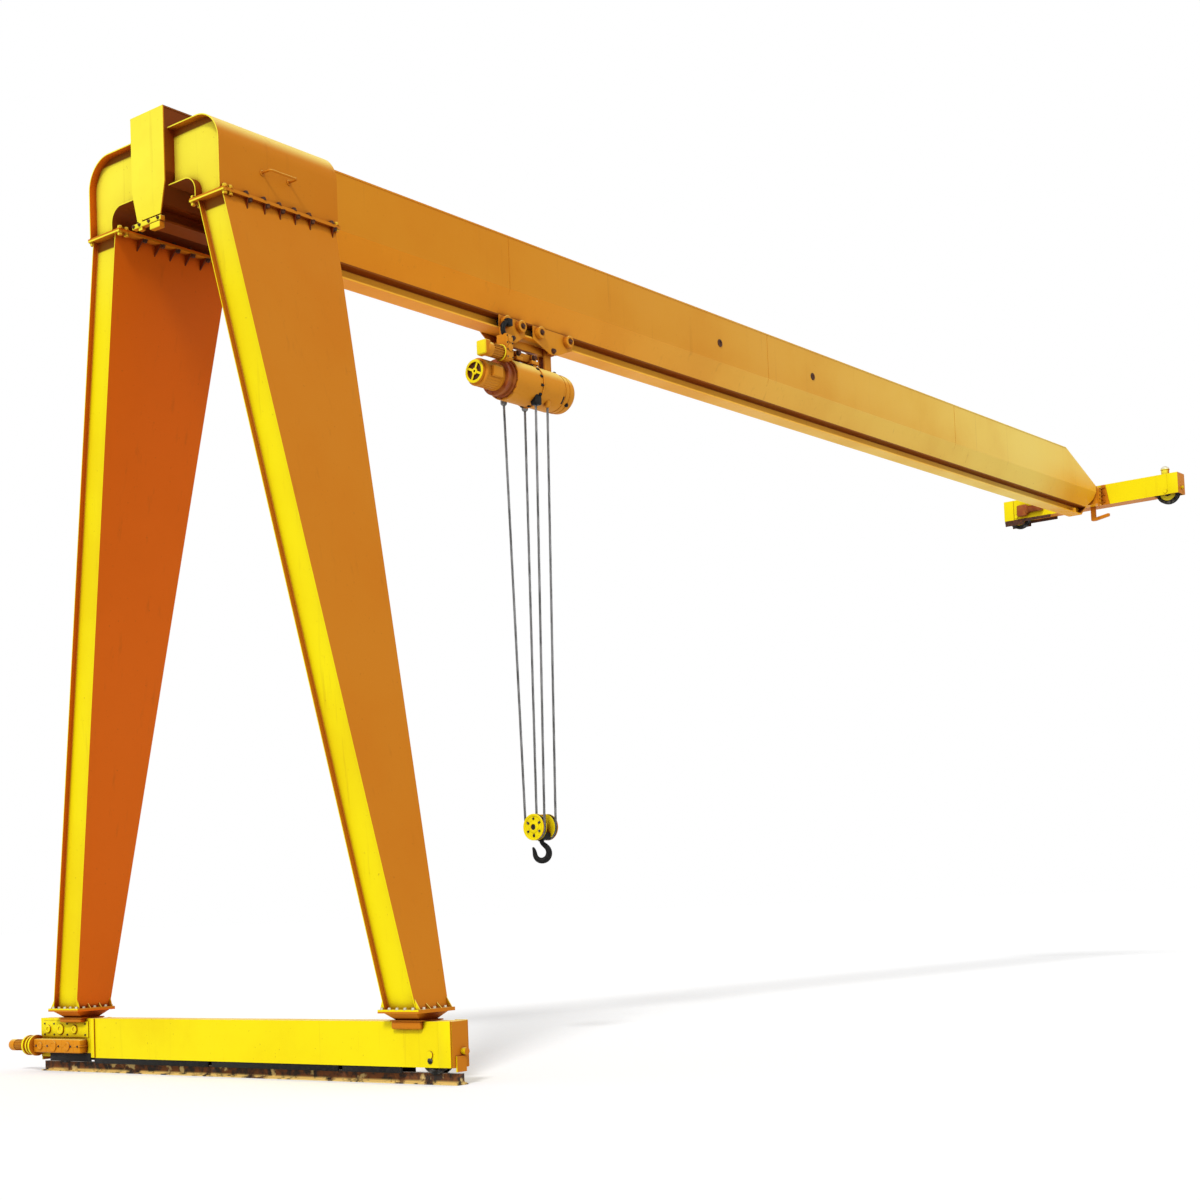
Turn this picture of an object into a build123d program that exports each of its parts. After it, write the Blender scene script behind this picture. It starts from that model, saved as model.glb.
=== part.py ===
"""Semi-gantry crane: one pair of splayed legs on a ground carriage, a box girder with an
I-section track, an end truck for a high runway, and a wire-rope hoist under the track.
Millimetres. X runs along the girder, Y across it, Z up. Z = 0 is the foot of the ground rail.
"""

import os

from build123d import *

os.makedirs("parts", exist_ok=True)

# Clearances, and how far a cut runs past the face that it opens
RUNNING_FIT = 0.05
TOUCH_GAP = 0.3
WHEEL_END_GAP = 22
CUT_OVERRUN = 1

# Ground rail
SOLE_OVERHANG = 20
SOLE_WIDTH = 180
SOLE_THICK = 12
RAIL_WIDTH = 60
RAIL_HEIGHT = 113
ANCHOR_RADIUS = 11
ANCHOR_SPACING_X = 140
ANCHOR_SPACING_Y = 600
ANCHOR_ROW_PITCH = 3000

# Travelling wheels of the carriage and of the end truck
WHEEL_RADIUS = 200
WHEEL_LIP = 20
WHEEL_TREAD = 72
WHEEL_FLANGE = 20
AXLE_RADIUS = 35
AXLE_INSET = 2

# Ground carriage
BEAM_WIDTH = 250
BEAM_HEIGHT = 500
BEAM_CLEARANCE = 62
BEAM_WALL = 16
CARRIAGE_Y_RIGHT = -3650
CARRIAGE_Y_LEFT = 3760
WHEEL_Y = 3320
RIGHT_BOX_LENGTH = 760
LEFT_BOX_LENGTH = 1120
LEFT_BOX_WIDTH = 190
CAP_RADIUS = 42
CAP_THICK = 14
BUFFER_RADIUS = 40
BUFFER_LENGTH = 60
BUFFER_DROP = 327
BUFFER_X = 45
SWEEPER_THICK = 20
SWEEPER_WIDTH = 150
SWEEPER_DROP = 45
SWEEPER_RISE = 125

# Carriage drive
REDUCER_SETBACK = 120
REDUCER_OVERHANG = 10
REDUCER_DEPTH = 140
REDUCER_HEIGHT = 180
DRIVE_AXIS_RISE = 10
DRIVE_FLANGE_RADIUS = 122
DRIVE_FLANGE_LENGTH = 140
DRIVE_MOTOR_RADIUS = 75
DRIVE_MOTOR_LENGTH = 370

# Pedestals and legs
FLANGE_THICK = 20
PEDESTAL_HEIGHT = 96
PEDESTAL_BASE_THICK = 14
PEDESTAL_BASE_X = 180
PEDESTAL_BASE_INSET = 11
PEDESTAL_WAIST_X = 135
PEDESTAL_WAIST_INSET = 61
LEG_RISE = 9454
LEG_FOOT_X = 258
LEG_FOOT_Y = 3013
LEG_FOOT_DEPTH = 492
LEG_HEAD_X = 890
LEG_HEAD_Y = 994.5
LEG_HEAD_DEPTH = 441
LEG_SKIN = 12
STRIP_RECESS = 70
FOOT_FLANGE_MARGIN_X = 32
FOOT_FLANGE_MARGIN_Y = 66
HEAD_FLANGE_MARGIN_X = 35
HEAD_FLANGE_INNER = 115
HEAD_FLANGE_OUTER = 53
GUSSET_THICK = 14
GUSSET_HEIGHT = 130
GUSSET_X = (-550, -280, -40, 200, 440, 810)

# Shoulders that carry the girder between the legs
SHOULDER_STEP = 258
SHOULDER_SOFFIT_RISE = 274
SHOULDER_OUTER_R = 390
SHOULDER_INNER_R = 180
SHOULDER_OVERHANG = 45
SHOULDER_SKIN = 14
SHOULDER_RECESS = 100

# Track under the girder
TRACK_DROP = 101
TRACK_HEIGHT = 213
TRACK_FLANGE = 24
TRACK_HALF = 150
TRACK_WEB_HALF = 8
STOP_NEAR_X = 1300
STOP_FAR_SETBACK = 850
STOP_LENGTH = 60
STOP_HEIGHT = 90
STOP_REACH = 140

# Girder
GIRDER_OVERHANG = 42
GIRDER_LENGTH = 26227
GIRDER_HALF = 305
GIRDER_PLATE = 16
GIRDER_WEB = 12
GIRDER_TAPER = 344
GIRDER_SIDE = 768
SLOPE_LENGTH = 1500
HEEL_LENGTH = 530
HEEL_RISE = 444
END_PLATE_RISE = 51
END_PLATE_TAPER = 375
END_PLATE_TIP_HALF = 215

# End truck on the high runway
SEAT_LENGTH = 250
SEAT_WALL = 16
SEAT_STEP = 60
TRUCK_RISE = 294
TRUCK_WIDTH = 380
TRUCK_HEIGHT = 460
TRUCK_HALF_LENGTH = 2100
TRUCK_WALL = 16
TRUCK_WHEEL_RADIUS = 242
TRUCK_AXLE_RISE = 72
TRUCK_MOTOR_RADIUS = 105
TRUCK_MOTOR_HEIGHT = 215
TRUCK_MOTOR_SETBACK = 350
COLLECTOR_Y = -25
COLLECTOR_BAR = 70
COLLECTOR_POST = 105
COLLECTOR_DROP = 250
COLLECTOR_REACH = 430
COLLECTOR_RISE = 60

# Trolley; the wheels are placed along X from the hook
HOOK_X = 5790
TROLLEY_WHEEL_OFFSETS = (-590, -270, 160, 810)
TROLLEY_WHEEL_HEADROOM = 15
TROLLEY_WHEEL_WIDTH = 45
TROLLEY_WHEEL_INSET = 20
TROLLEY_AXLE_RADIUS = 22
TROLLEY_PLATE_GAP = 15
TROLLEY_PLATE_THICK = 12
TROLLEY_PLATE_RISE = 95
TROLLEY_PLATE_SHOULDER = 110
TROLLEY_PLATE_MARGIN = 120
TROLLEY_TIP_HALF = 70
TROLLEY_TIP_DROP = 55
TROLLEY_BOSS_RADIUS = 85
TROLLEY_BOSS_LENGTH = 60
HANGER_DROP = 101
HANGER_SHAFT_RADIUS = 28
HANGER_LUG_GAP = 80
HANGER_LUG_THICK = 26
HANGER_LUG_HALF = 75
TRAVEL_BOX_LENGTH = 130
TRAVEL_BOX_SETBACK = 345
TRAVEL_BOX_HEADROOM = 8
TRAVEL_BOX_DROP = 140
TRAVEL_SEAT_LENGTH = 70
TRAVEL_SEAT_THICK = 50
TRAVEL_MOTOR_LENGTH = 430
TRAVEL_MOTOR_RADIUS = 105
TRAVEL_MOTOR_Y = -250
TRAVEL_MOTOR_DROP = 300

# Hoist
HOIST_DROP = 572
CASING_OFFSET = 50
CASING_LENGTH = 1020
CASING_RADIUS = 300
CASING_WALL = 12
CASING_SLOT_HALF = 200
DRUM_WALL = 20
HOIST_NECK_LENGTH = 180
HOIST_NECK_RADIUS = 265
HOIST_MOTOR_LENGTH = 390
HOIST_MOTOR_RADIUS = 200
HOIST_COVER_LENGTH = 60
HOIST_COVER_RADIUS = 170
GEARBOX_LENGTH = 330
GEARBOX_RADIUS = 285
GEARBOX_WALL = 18
GEARBOX_ROUND = 110

# Ropes and hook block
ROPE_LENGTH = 6483
ROPE_RADIUS = 13
ROPE_FOOT_GAP = 0.4
ROPE_TOP_OFFSETS = (45, -270, 310, 210)
SHEAVE_SPREAD = 125
SHEAVE_ROOT = 165
SHEAVE_DEPTH = 21
SHEAVE_THICK = 52
SHEAVE_GROOVE = 36
COVER_RADIUS = 192
COVER_THICK = 8
COVER_GAP = 4
PIN_RADIUS = 40
YOKE_DROP = 135
YOKE_HALF_WIDTH = 110
YOKE_HEIGHT = 100

# Hook, turned on its swivel so that the mouth opens to the front left
HOOK_TURN = -51.5
HOOK_DROP = 245
HOOK_THICK = 70
HOOK_MOUTH_RADIUS = 65
HOOK_BACK = 151
HOOK_BELLY = 143
HOOK_FRONT = 131
HOOK_THROAT_ANGLE = 20
HOOK_LIP_X = 78
HOOK_LIP_RISE = 46
HOOK_TIP_X = 118
HOOK_TIP_RISE = 92
HOOK_SHOULDER_X = 115
HOOK_SHOULDER_RISE = 111
HOOK_NECK_RISE = 185
SHANK_RADIUS = 32
NUT_RADIUS = 56
NUT_HEIGHT = 35

# Levels and lines worked out from the sizes above
RAIL_TOP = SOLE_THICK + RAIL_HEIGHT
BEAM_BOTTOM = RAIL_TOP + BEAM_CLEARANCE
BEAM_TOP = BEAM_BOTTOM + BEAM_HEIGHT
BEAM_HALF = BEAM_WIDTH / 2
WHEEL_Z = RAIL_TOP + WHEEL_RADIUS + TOUCH_GAP
PEDESTAL_TOP = BEAM_TOP + PEDESTAL_HEIGHT
FOOT_TOP = PEDESTAL_TOP + 2 * FLANGE_THICK
HEAD_BOTTOM = FOOT_TOP + LEG_RISE
HEAD_TOP = HEAD_BOTTOM + FLANGE_THICK
LEG_FOOT_IN = LEG_FOOT_Y - LEG_FOOT_DEPTH / 2
LEG_FOOT_OUT = LEG_FOOT_Y + LEG_FOOT_DEPTH / 2
LEG_HEAD_IN = LEG_HEAD_Y - LEG_HEAD_DEPTH / 2
LEG_HEAD_OUT = LEG_HEAD_Y + LEG_HEAD_DEPTH / 2
HEAD_FLANGE_X = LEG_HEAD_X + HEAD_FLANGE_MARGIN_X
HEAD_FLANGE_Y = (LEG_HEAD_IN - HEAD_FLANGE_INNER, LEG_HEAD_OUT + HEAD_FLANGE_OUTER)
SHOULDER_X = LEG_HEAD_X + SHOULDER_OVERHANG
TRACK_BOTTOM = HEAD_TOP - TRACK_DROP
TRACK_TOP = TRACK_BOTTOM + TRACK_HEIGHT
GIRDER_FOLD = TRACK_TOP + GIRDER_TAPER
GIRDER_UNDER_PLATE = GIRDER_FOLD + GIRDER_SIDE
GIRDER_TOP = GIRDER_UNDER_PLATE + GIRDER_PLATE
GIRDER_START = -SHOULDER_X - GIRDER_OVERHANG
GIRDER_END = GIRDER_START + GIRDER_LENGTH
TRUCK_X = GIRDER_END + SEAT_LENGTH
TRUCK_BOTTOM = TRACK_BOTTOM + TRUCK_RISE
TRUCK_TOP = TRUCK_BOTTOM + TRUCK_HEIGHT
SLOPE_START = GIRDER_END - SLOPE_LENGTH
SLOPE_LOW = TRUCK_TOP - SEAT_STEP
HEEL_X = GIRDER_END - HEEL_LENGTH
HEEL_TOP = TRACK_BOTTOM + HEEL_RISE
TROLLEY_WHEEL_RADIUS = (TRACK_HEIGHT - 2 * TRACK_FLANGE - TROLLEY_WHEEL_HEADROOM) / 2
TROLLEY_WHEEL_Z = TRACK_BOTTOM + TRACK_FLANGE + TROLLEY_WHEEL_RADIUS + TOUCH_GAP
TROLLEY_WHEEL_X = [HOOK_X + offset for offset in TROLLEY_WHEEL_OFFSETS]
HANGER_Z = TRACK_BOTTOM - HANGER_DROP
HANGER_TIPS = (sum(TROLLEY_WHEEL_X[:2]) / 2, sum(TROLLEY_WHEEL_X[2:]) / 2)
HOIST_Z = HANGER_Z - HOIST_DROP
CASING_START = HOOK_X + CASING_OFFSET - CASING_LENGTH / 2
CASING_END = CASING_START + CASING_LENGTH
HOIST_NECK_START = CASING_START - HOIST_NECK_LENGTH
HOIST_MOTOR_START = HOIST_NECK_START - HOIST_MOTOR_LENGTH
GEARBOX_END = CASING_END + GEARBOX_LENGTH
ROPE_LINE = SHEAVE_ROOT + ROPE_RADIUS + TOUCH_GAP
DRUM_RADIUS = ROPE_LINE - ROPE_RADIUS
BLOCK_Z = HOIST_Z - ROPE_LENGTH
COVER_REACH = SHEAVE_THICK / 2 + COVER_GAP + COVER_THICK
YOKE_Z = BLOCK_Z - YOKE_DROP
HOOK_Z = YOKE_Z - HOOK_DROP


def box(x0, x1, y0, y1, z0, z1):
    centre = Pos((x0 + x1) / 2, (y0 + y1) / 2, (z0 + z1) / 2)
    return centre * Box(abs(x1 - x0), abs(y1 - y0), abs(z1 - z0))


def rod_x(x0, x1, y, z, radius):
    return Pos((x0 + x1) / 2, y, z) * Rot(0, 90, 0) * Cylinder(radius, abs(x1 - x0))


def rod_y(x, y0, y1, z, radius):
    return Pos(x, (y0 + y1) / 2, z) * Rot(90, 0, 0) * Cylinder(radius, abs(y1 - y0))


def rod_z(x, y, z0, z1, radius):
    return Pos(x, y, (z0 + z1) / 2) * Cylinder(radius, abs(z1 - z0))


def prism_x(points, x0, x1):
    face = make_face(Polyline(*points, close=True))
    return extrude(Plane.YZ.offset(x0) * face, amount=x1 - x0)


def prism_y(points, y0, y1):
    face = make_face(Polyline(*points, close=True))
    return extrude(Plane.XZ.offset(-y0) * face, amount=-(y1 - y0))


def frustum(low, z0, high, z1):
    """Straight-sided solid between two level rectangles, each (x0, x1, y0, y1)."""
    rings = []
    for (x0, x1, y0, y1), z in ((low, z0), (high, z1)):
        corners = ((x0, y0, z), (x1, y0, z), (x1, y1, z), (x0, y1, z))
        rings.append(make_face(Polyline(*corners, close=True)))
    return loft(rings, ruled=True)


def strut(start, end, radius):
    """Round bar between two points."""
    line = Line(start, end)
    return sweep(Plane(origin=start, z_dir=line % 0) * Circle(radius), path=line)


def both_sides(points):
    """Outline mirrored across Y = 0, as one closed loop."""
    return (*points, *((-y, z) for y, z in reversed(points)))


def save(node, *shapes):
    solids = []
    for shape in shapes:
        solids.extend(shape.solids())
    export_step(Compound(solids), f"parts/{node}.step")


def flip(shape):
    return mirror(shape, about=Plane.XZ)


def ground_rail():
    low = CARRIAGE_Y_RIGHT - SOLE_OVERHANG
    high = CARRIAGE_Y_LEFT + SOLE_OVERHANG
    sole = box(-SOLE_WIDTH / 2, SOLE_WIDTH / 2, low, high, 0, SOLE_THICK)
    for row in (-ANCHOR_ROW_PITCH, 0, ANCHOR_ROW_PITCH):
        for x in (-ANCHOR_SPACING_X / 2, ANCHOR_SPACING_X / 2):
            for y in (row - ANCHOR_SPACING_Y / 2, row + ANCHOR_SPACING_Y / 2):
                sole -= rod_z(x, y, -CUT_OVERRUN, SOLE_THICK + CUT_OVERRUN, ANCHOR_RADIUS)
    rail = box(-RAIL_WIDTH / 2, RAIL_WIDTH / 2, low, high, SOLE_THICK, RAIL_TOP)
    save("ground_rail", sole + rail)


def flanged_wheel(x, y, z, radius, axle_half):
    """Double-flanged wheel turning about X, with its axle."""
    half_tread = WHEEL_TREAD / 2
    outer = half_tread + WHEEL_FLANGE
    wheel = rod_x(x - half_tread, x + half_tread, y, z, radius)
    wheel += rod_x(x - outer, x - half_tread, y, z, radius + WHEEL_LIP)
    wheel += rod_x(x + half_tread, x + outer, y, z, radius + WHEEL_LIP)
    wheel += rod_x(x - axle_half, x + axle_half, y, z, AXLE_RADIUS)
    return wheel


def axle_bore(x0, x1, y, z):
    return rod_x(x0 - CUT_OVERRUN, x1 + CUT_OVERRUN, y, z, AXLE_RADIUS + RUNNING_FIT)


def wheel_box(half_width, y0, y1, wheel_y):
    """Box open below, with bored side plates for the wheel axle."""
    shell = box(-half_width, half_width, y0, y1, BEAM_BOTTOM, BEAM_TOP)
    shell -= box(
        -half_width + BEAM_WALL, half_width - BEAM_WALL, y0 + BEAM_WALL, y1 - BEAM_WALL,
        BEAM_BOTTOM - CUT_OVERRUN, BEAM_TOP - BEAM_WALL,
    )
    return shell - axle_bore(-half_width, half_width, wheel_y, WHEEL_Z)


def carriage():
    right_end = CARRIAGE_Y_RIGHT + RIGHT_BOX_LENGTH
    left_start = CARRIAGE_Y_LEFT - LEFT_BOX_LENGTH
    left_half = LEFT_BOX_WIDTH / 2
    beam = box(-BEAM_HALF, BEAM_HALF, right_end, left_start, BEAM_BOTTOM, BEAM_TOP)
    beam -= box(
        -BEAM_HALF + BEAM_WALL, BEAM_HALF - BEAM_WALL,
        right_end - CUT_OVERRUN, left_start + CUT_OVERRUN,
        BEAM_BOTTOM + BEAM_WALL, BEAM_TOP - BEAM_WALL,
    )
    save("carriage_beam", beam)
    right_box = wheel_box(BEAM_HALF, CARRIAGE_Y_RIGHT, right_end, -WHEEL_Y)
    left_box = wheel_box(left_half, left_start, CARRIAGE_Y_LEFT, WHEEL_Y)
    save("carriage_wheel_boxes", right_box, left_box)

    caps = []
    for face, y in ((BEAM_HALF, -WHEEL_Y), (-BEAM_HALF, -WHEEL_Y), (left_half, WHEEL_Y)):
        outside = face + (CAP_THICK if face > 0 else -CAP_THICK)
        caps.append(rod_x(face, outside, y, WHEEL_Z, CAP_RADIUS))
    save("carriage_bearing_caps", *caps)

    for name, y, half in (("right", -WHEEL_Y, BEAM_HALF), ("left", WHEEL_Y, left_half)):
        wheel = flanged_wheel(0, y, WHEEL_Z, WHEEL_RADIUS, half - AXLE_INSET)
        save(f"carriage_wheel_{name}", wheel)

    sweepers = []
    buffers = []
    for end, sign in ((CARRIAGE_Y_RIGHT, -1), (CARRIAGE_Y_LEFT, 1)):
        tip = end + sign * BUFFER_LENGTH
        buffers.append(rod_y(BUFFER_X, end, tip, BEAM_TOP - BUFFER_DROP, BUFFER_RADIUS))
        sweepers.append(box(
            -SWEEPER_WIDTH / 2, SWEEPER_WIDTH / 2, end, end + sign * SWEEPER_THICK,
            BEAM_BOTTOM - SWEEPER_DROP, BEAM_BOTTOM + SWEEPER_RISE,
        ))
    save("carriage_buffers", *buffers)
    save("rail_sweepers", *sweepers)

    front = -left_half
    drive_x = front - REDUCER_DEPTH / 2
    drive_z = WHEEL_Z + DRIVE_AXIS_RISE
    reducer_end = CARRIAGE_Y_LEFT + SWEEPER_THICK + REDUCER_OVERHANG
    reducer = box(
        front - REDUCER_DEPTH, front, left_start + REDUCER_SETBACK, reducer_end,
        drive_z - REDUCER_HEIGHT / 2, drive_z + REDUCER_HEIGHT / 2,
    )
    flange_end = reducer_end + DRIVE_FLANGE_LENGTH
    bell = rod_y(drive_x, reducer_end, flange_end, drive_z, DRIVE_FLANGE_RADIUS)
    save("carriage_reducer", reducer + bell)
    motor_end = flange_end + DRIVE_MOTOR_LENGTH
    save("carriage_motor", rod_y(drive_x, flange_end, motor_end, drive_z, DRIVE_MOTOR_RADIUS))


def foot_flange(z):
    x = LEG_FOOT_X + FOOT_FLANGE_MARGIN_X
    y0 = LEG_FOOT_IN - FOOT_FLANGE_MARGIN_Y
    y1 = LEG_FOOT_OUT + FOOT_FLANGE_MARGIN_Y
    return box(-x, x, y0, y1, z, z + FLANGE_THICK)


def head_flange(z):
    return box(-HEAD_FLANGE_X, HEAD_FLANGE_X, *HEAD_FLANGE_Y, z, z + FLANGE_THICK)


def pedestal():
    base_top = BEAM_TOP + PEDESTAL_BASE_THICK
    base = box(
        -PEDESTAL_BASE_X, PEDESTAL_BASE_X,
        LEG_FOOT_IN + PEDESTAL_BASE_INSET, LEG_FOOT_OUT - PEDESTAL_BASE_INSET, BEAM_TOP, base_top,
    )
    waist = (
        -PEDESTAL_WAIST_X, PEDESTAL_WAIST_X,
        LEG_FOOT_IN + PEDESTAL_WAIST_INSET, LEG_FOOT_OUT - PEDESTAL_WAIST_INSET,
    )
    crown = (-LEG_FOOT_X, LEG_FOOT_X, LEG_FOOT_IN, LEG_FOOT_OUT)
    neck = frustum(waist, base_top, crown, PEDESTAL_TOP)
    return base + neck + foot_flange(PEDESTAL_TOP)


def leg():
    """Left leg as (side plates, face strips, head flange with its ribs)."""
    plates = []
    for low, high in (
        (LEG_FOOT_IN, LEG_HEAD_IN), (LEG_FOOT_OUT - LEG_SKIN, LEG_HEAD_OUT - LEG_SKIN),
    ):
        plates.append(frustum(
            (-LEG_FOOT_X, LEG_FOOT_X, low, low + LEG_SKIN), FOOT_TOP,
            (-LEG_HEAD_X, LEG_HEAD_X, high, high + LEG_SKIN), HEAD_BOTTOM,
        ))
    strips = []
    foot_x = LEG_FOOT_X - STRIP_RECESS
    head_x = LEG_HEAD_X - STRIP_RECESS
    for sign in (-1, 1):
        low = sorted((sign * foot_x, sign * (foot_x - LEG_SKIN)))
        high = sorted((sign * head_x, sign * (head_x - LEG_SKIN)))
        strips.append(frustum(
            (*low, LEG_FOOT_IN + LEG_SKIN, LEG_FOOT_OUT - LEG_SKIN), FOOT_TOP,
            (*high, LEG_HEAD_IN + LEG_SKIN, LEG_HEAD_OUT - LEG_SKIN), HEAD_BOTTOM,
        ))
    head = head_flange(HEAD_BOTTOM)
    flanks = (
        (LEG_FOOT_IN, LEG_HEAD_IN, HEAD_FLANGE_Y[0]),
        (LEG_FOOT_OUT, LEG_HEAD_OUT, HEAD_FLANGE_Y[1]),
    )
    for foot_y, head_y, flange_y in flanks:
        splay = (foot_y - head_y) / LEG_RISE
        rib = (
            (head_y, HEAD_BOTTOM),
            (flange_y, HEAD_BOTTOM),
            (head_y + splay * GUSSET_HEIGHT, HEAD_BOTTOM - GUSSET_HEIGHT),
        )
        for x in GUSSET_X:
            head += prism_x(rib, x - GUSSET_THICK / 2, x + GUSSET_THICK / 2)
    return plates, strips, head


def legs():
    plates, strips, head = leg()
    foot = foot_flange(FOOT_TOP - FLANGE_THICK)
    stand = pedestal()
    save("left_leg_sides", *plates)
    save("left_leg_faces", *strips)
    save("right_leg_sides", *[flip(plate) for plate in plates])
    save("right_leg_faces", *[flip(strip) for strip in strips])
    save("foot_flanges", foot, flip(foot))
    save("head_flanges", head, flip(head))
    save("pedestals", stand, flip(stand))


def shoulder_profile(inset):
    """Section of a shoulder across the crane, drawn inset from its outside."""
    out = LEG_HEAD_OUT - inset
    inn = LEG_HEAD_IN + inset
    top = GIRDER_TOP - SHOULDER_STEP - inset
    soffit = HEAD_TOP + SHOULDER_SOFFIT_RISE + inset
    outer_r = SHOULDER_OUTER_R - inset
    inner_r = SHOULDER_INNER_R + inset
    bottom = HEAD_TOP + FLANGE_THICK
    soffit_in = inn - inner_r
    edges = [
        Line((GIRDER_HALF, top), (out - outer_r, top)),
        RadiusArc((out - outer_r, top), (out, top - outer_r), outer_r),
        Line((out, top - outer_r), (out, bottom)),
        Line((out, bottom), (inn, bottom)),
        Line((inn, bottom), (inn, soffit - inner_r)),
        RadiusArc((inn, soffit - inner_r), (soffit_in, soffit), -inner_r),
        Line((soffit_in, soffit), (GIRDER_HALF, soffit)),
        Line((GIRDER_HALF, soffit), (GIRDER_HALF, top)),
    ]
    return make_face(edges)


def shoulders():
    outline = shoulder_profile(0)
    inside = shoulder_profile(SHOULDER_SKIN)
    at_front = Plane.YZ.offset(-SHOULDER_X)
    skin = extrude(at_front * outline, amount=2 * SHOULDER_X)
    skin -= extrude(at_front * inside, amount=2 * SHOULDER_X)
    front = SHOULDER_X - SHOULDER_RECESS
    faces = []
    for x in (-front, front - SHOULDER_SKIN):
        faces.append(extrude(Plane.YZ.offset(x) * inside, amount=SHOULDER_SKIN))
    base = head_flange(HEAD_TOP)
    save("left_shoulder_skin", skin)
    save("right_shoulder_skin", flip(skin))
    save("shoulder_faces", *faces, *[flip(face) for face in faces])
    save("shoulder_bases", base, flip(base))


def girder():
    plate_low = SLOPE_LOW - GIRDER_PLATE
    top_plate = prism_y(
        (
            (GIRDER_START, GIRDER_TOP), (SLOPE_START, GIRDER_TOP),
            (GIRDER_END, SLOPE_LOW), (GIRDER_END, plate_low),
            (SLOPE_START, GIRDER_UNDER_PLATE), (GIRDER_START, GIRDER_UNDER_PLATE),
        ),
        -GIRDER_HALF, GIRDER_HALF,
    )
    save("girder_top_plate", top_plate)

    inside = GIRDER_HALF - GIRDER_WEB
    web_section = (
        (-GIRDER_HALF, GIRDER_UNDER_PLATE), (-GIRDER_HALF, GIRDER_FOLD), (-TRACK_HALF, TRACK_TOP),
        (-TRACK_HALF + GIRDER_WEB, TRACK_TOP), (-inside, GIRDER_FOLD), (-inside, GIRDER_UNDER_PLATE),
    )
    wide = GIRDER_HALF + CUT_OVERRUN
    slope_cut = prism_y(
        (
            (SLOPE_START, GIRDER_UNDER_PLATE), (GIRDER_END, plate_low),
            (GIRDER_END, GIRDER_UNDER_PLATE),
        ),
        -wide, wide,
    )
    heel_cut = prism_y(
        ((HEEL_X, TRACK_BOTTOM), (GIRDER_END, HEEL_TOP), (GIRDER_END, TRACK_BOTTOM)),
        -wide, wide,
    )
    web = prism_x(web_section, GIRDER_START, GIRDER_END) - slope_cut - heel_cut
    save("girder_near_web", web)
    save("girder_far_web", flip(web))

    end_low = TRACK_BOTTOM + END_PLATE_RISE
    near_end = prism_x(
        both_sides((
            (GIRDER_HALF, GIRDER_TOP), (GIRDER_HALF, end_low + END_PLATE_TAPER),
            (END_PLATE_TIP_HALF, end_low),
        )),
        GIRDER_START - GIRDER_PLATE, GIRDER_START,
    )
    save("girder_near_end", near_end)

    heel_plate = prism_y(
        (
            (HEEL_X, TRACK_BOTTOM), (GIRDER_END, HEEL_TOP),
            (GIRDER_END + GIRDER_PLATE, HEEL_TOP), (HEEL_X + GIRDER_PLATE, TRACK_BOTTOM),
        ),
        -GIRDER_HALF, GIRDER_HALF,
    )
    half_outline = (
        (GIRDER_HALF, GIRDER_TOP), (GIRDER_HALF, GIRDER_FOLD), (TRACK_HALF, TRACK_TOP),
        (TRACK_HALF, TRACK_BOTTOM),
    )
    heel_plate &= prism_x(both_sides(half_outline), HEEL_X, GIRDER_END + GIRDER_PLATE)
    seat_half = GIRDER_HALF + SEAT_WALL
    seat = box(GIRDER_END, TRUCK_X, -seat_half, seat_half, TRUCK_BOTTOM, SLOPE_LOW)
    seat -= box(
        GIRDER_END + GIRDER_PLATE, TRUCK_X + CUT_OVERRUN, -GIRDER_HALF, GIRDER_HALF,
        TRUCK_BOTTOM + SEAT_WALL, SLOPE_LOW - SEAT_WALL,
    )
    save("girder_far_end", seat + heel_plate)

    upper = TRACK_TOP - TRACK_FLANGE
    lower = TRACK_BOTTOM + TRACK_FLANGE
    half_section = (
        (TRACK_HALF, TRACK_TOP), (TRACK_HALF, upper), (TRACK_WEB_HALF, upper),
        (TRACK_WEB_HALF, lower), (TRACK_HALF, lower), (TRACK_HALF, TRACK_BOTTOM),
    )
    track = prism_x(both_sides(half_section), GIRDER_START, GIRDER_END)
    save("track_beam", track - heel_cut)

    stops = []
    for x in (STOP_NEAR_X, GIRDER_END - STOP_FAR_SETBACK):
        for side in (-1, 1):
            stops.append(box(
                x, x + STOP_LENGTH, side * TRACK_WEB_HALF, side * STOP_REACH,
                lower, lower + STOP_HEIGHT,
            ))
    save("track_stops", *stops)


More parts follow.
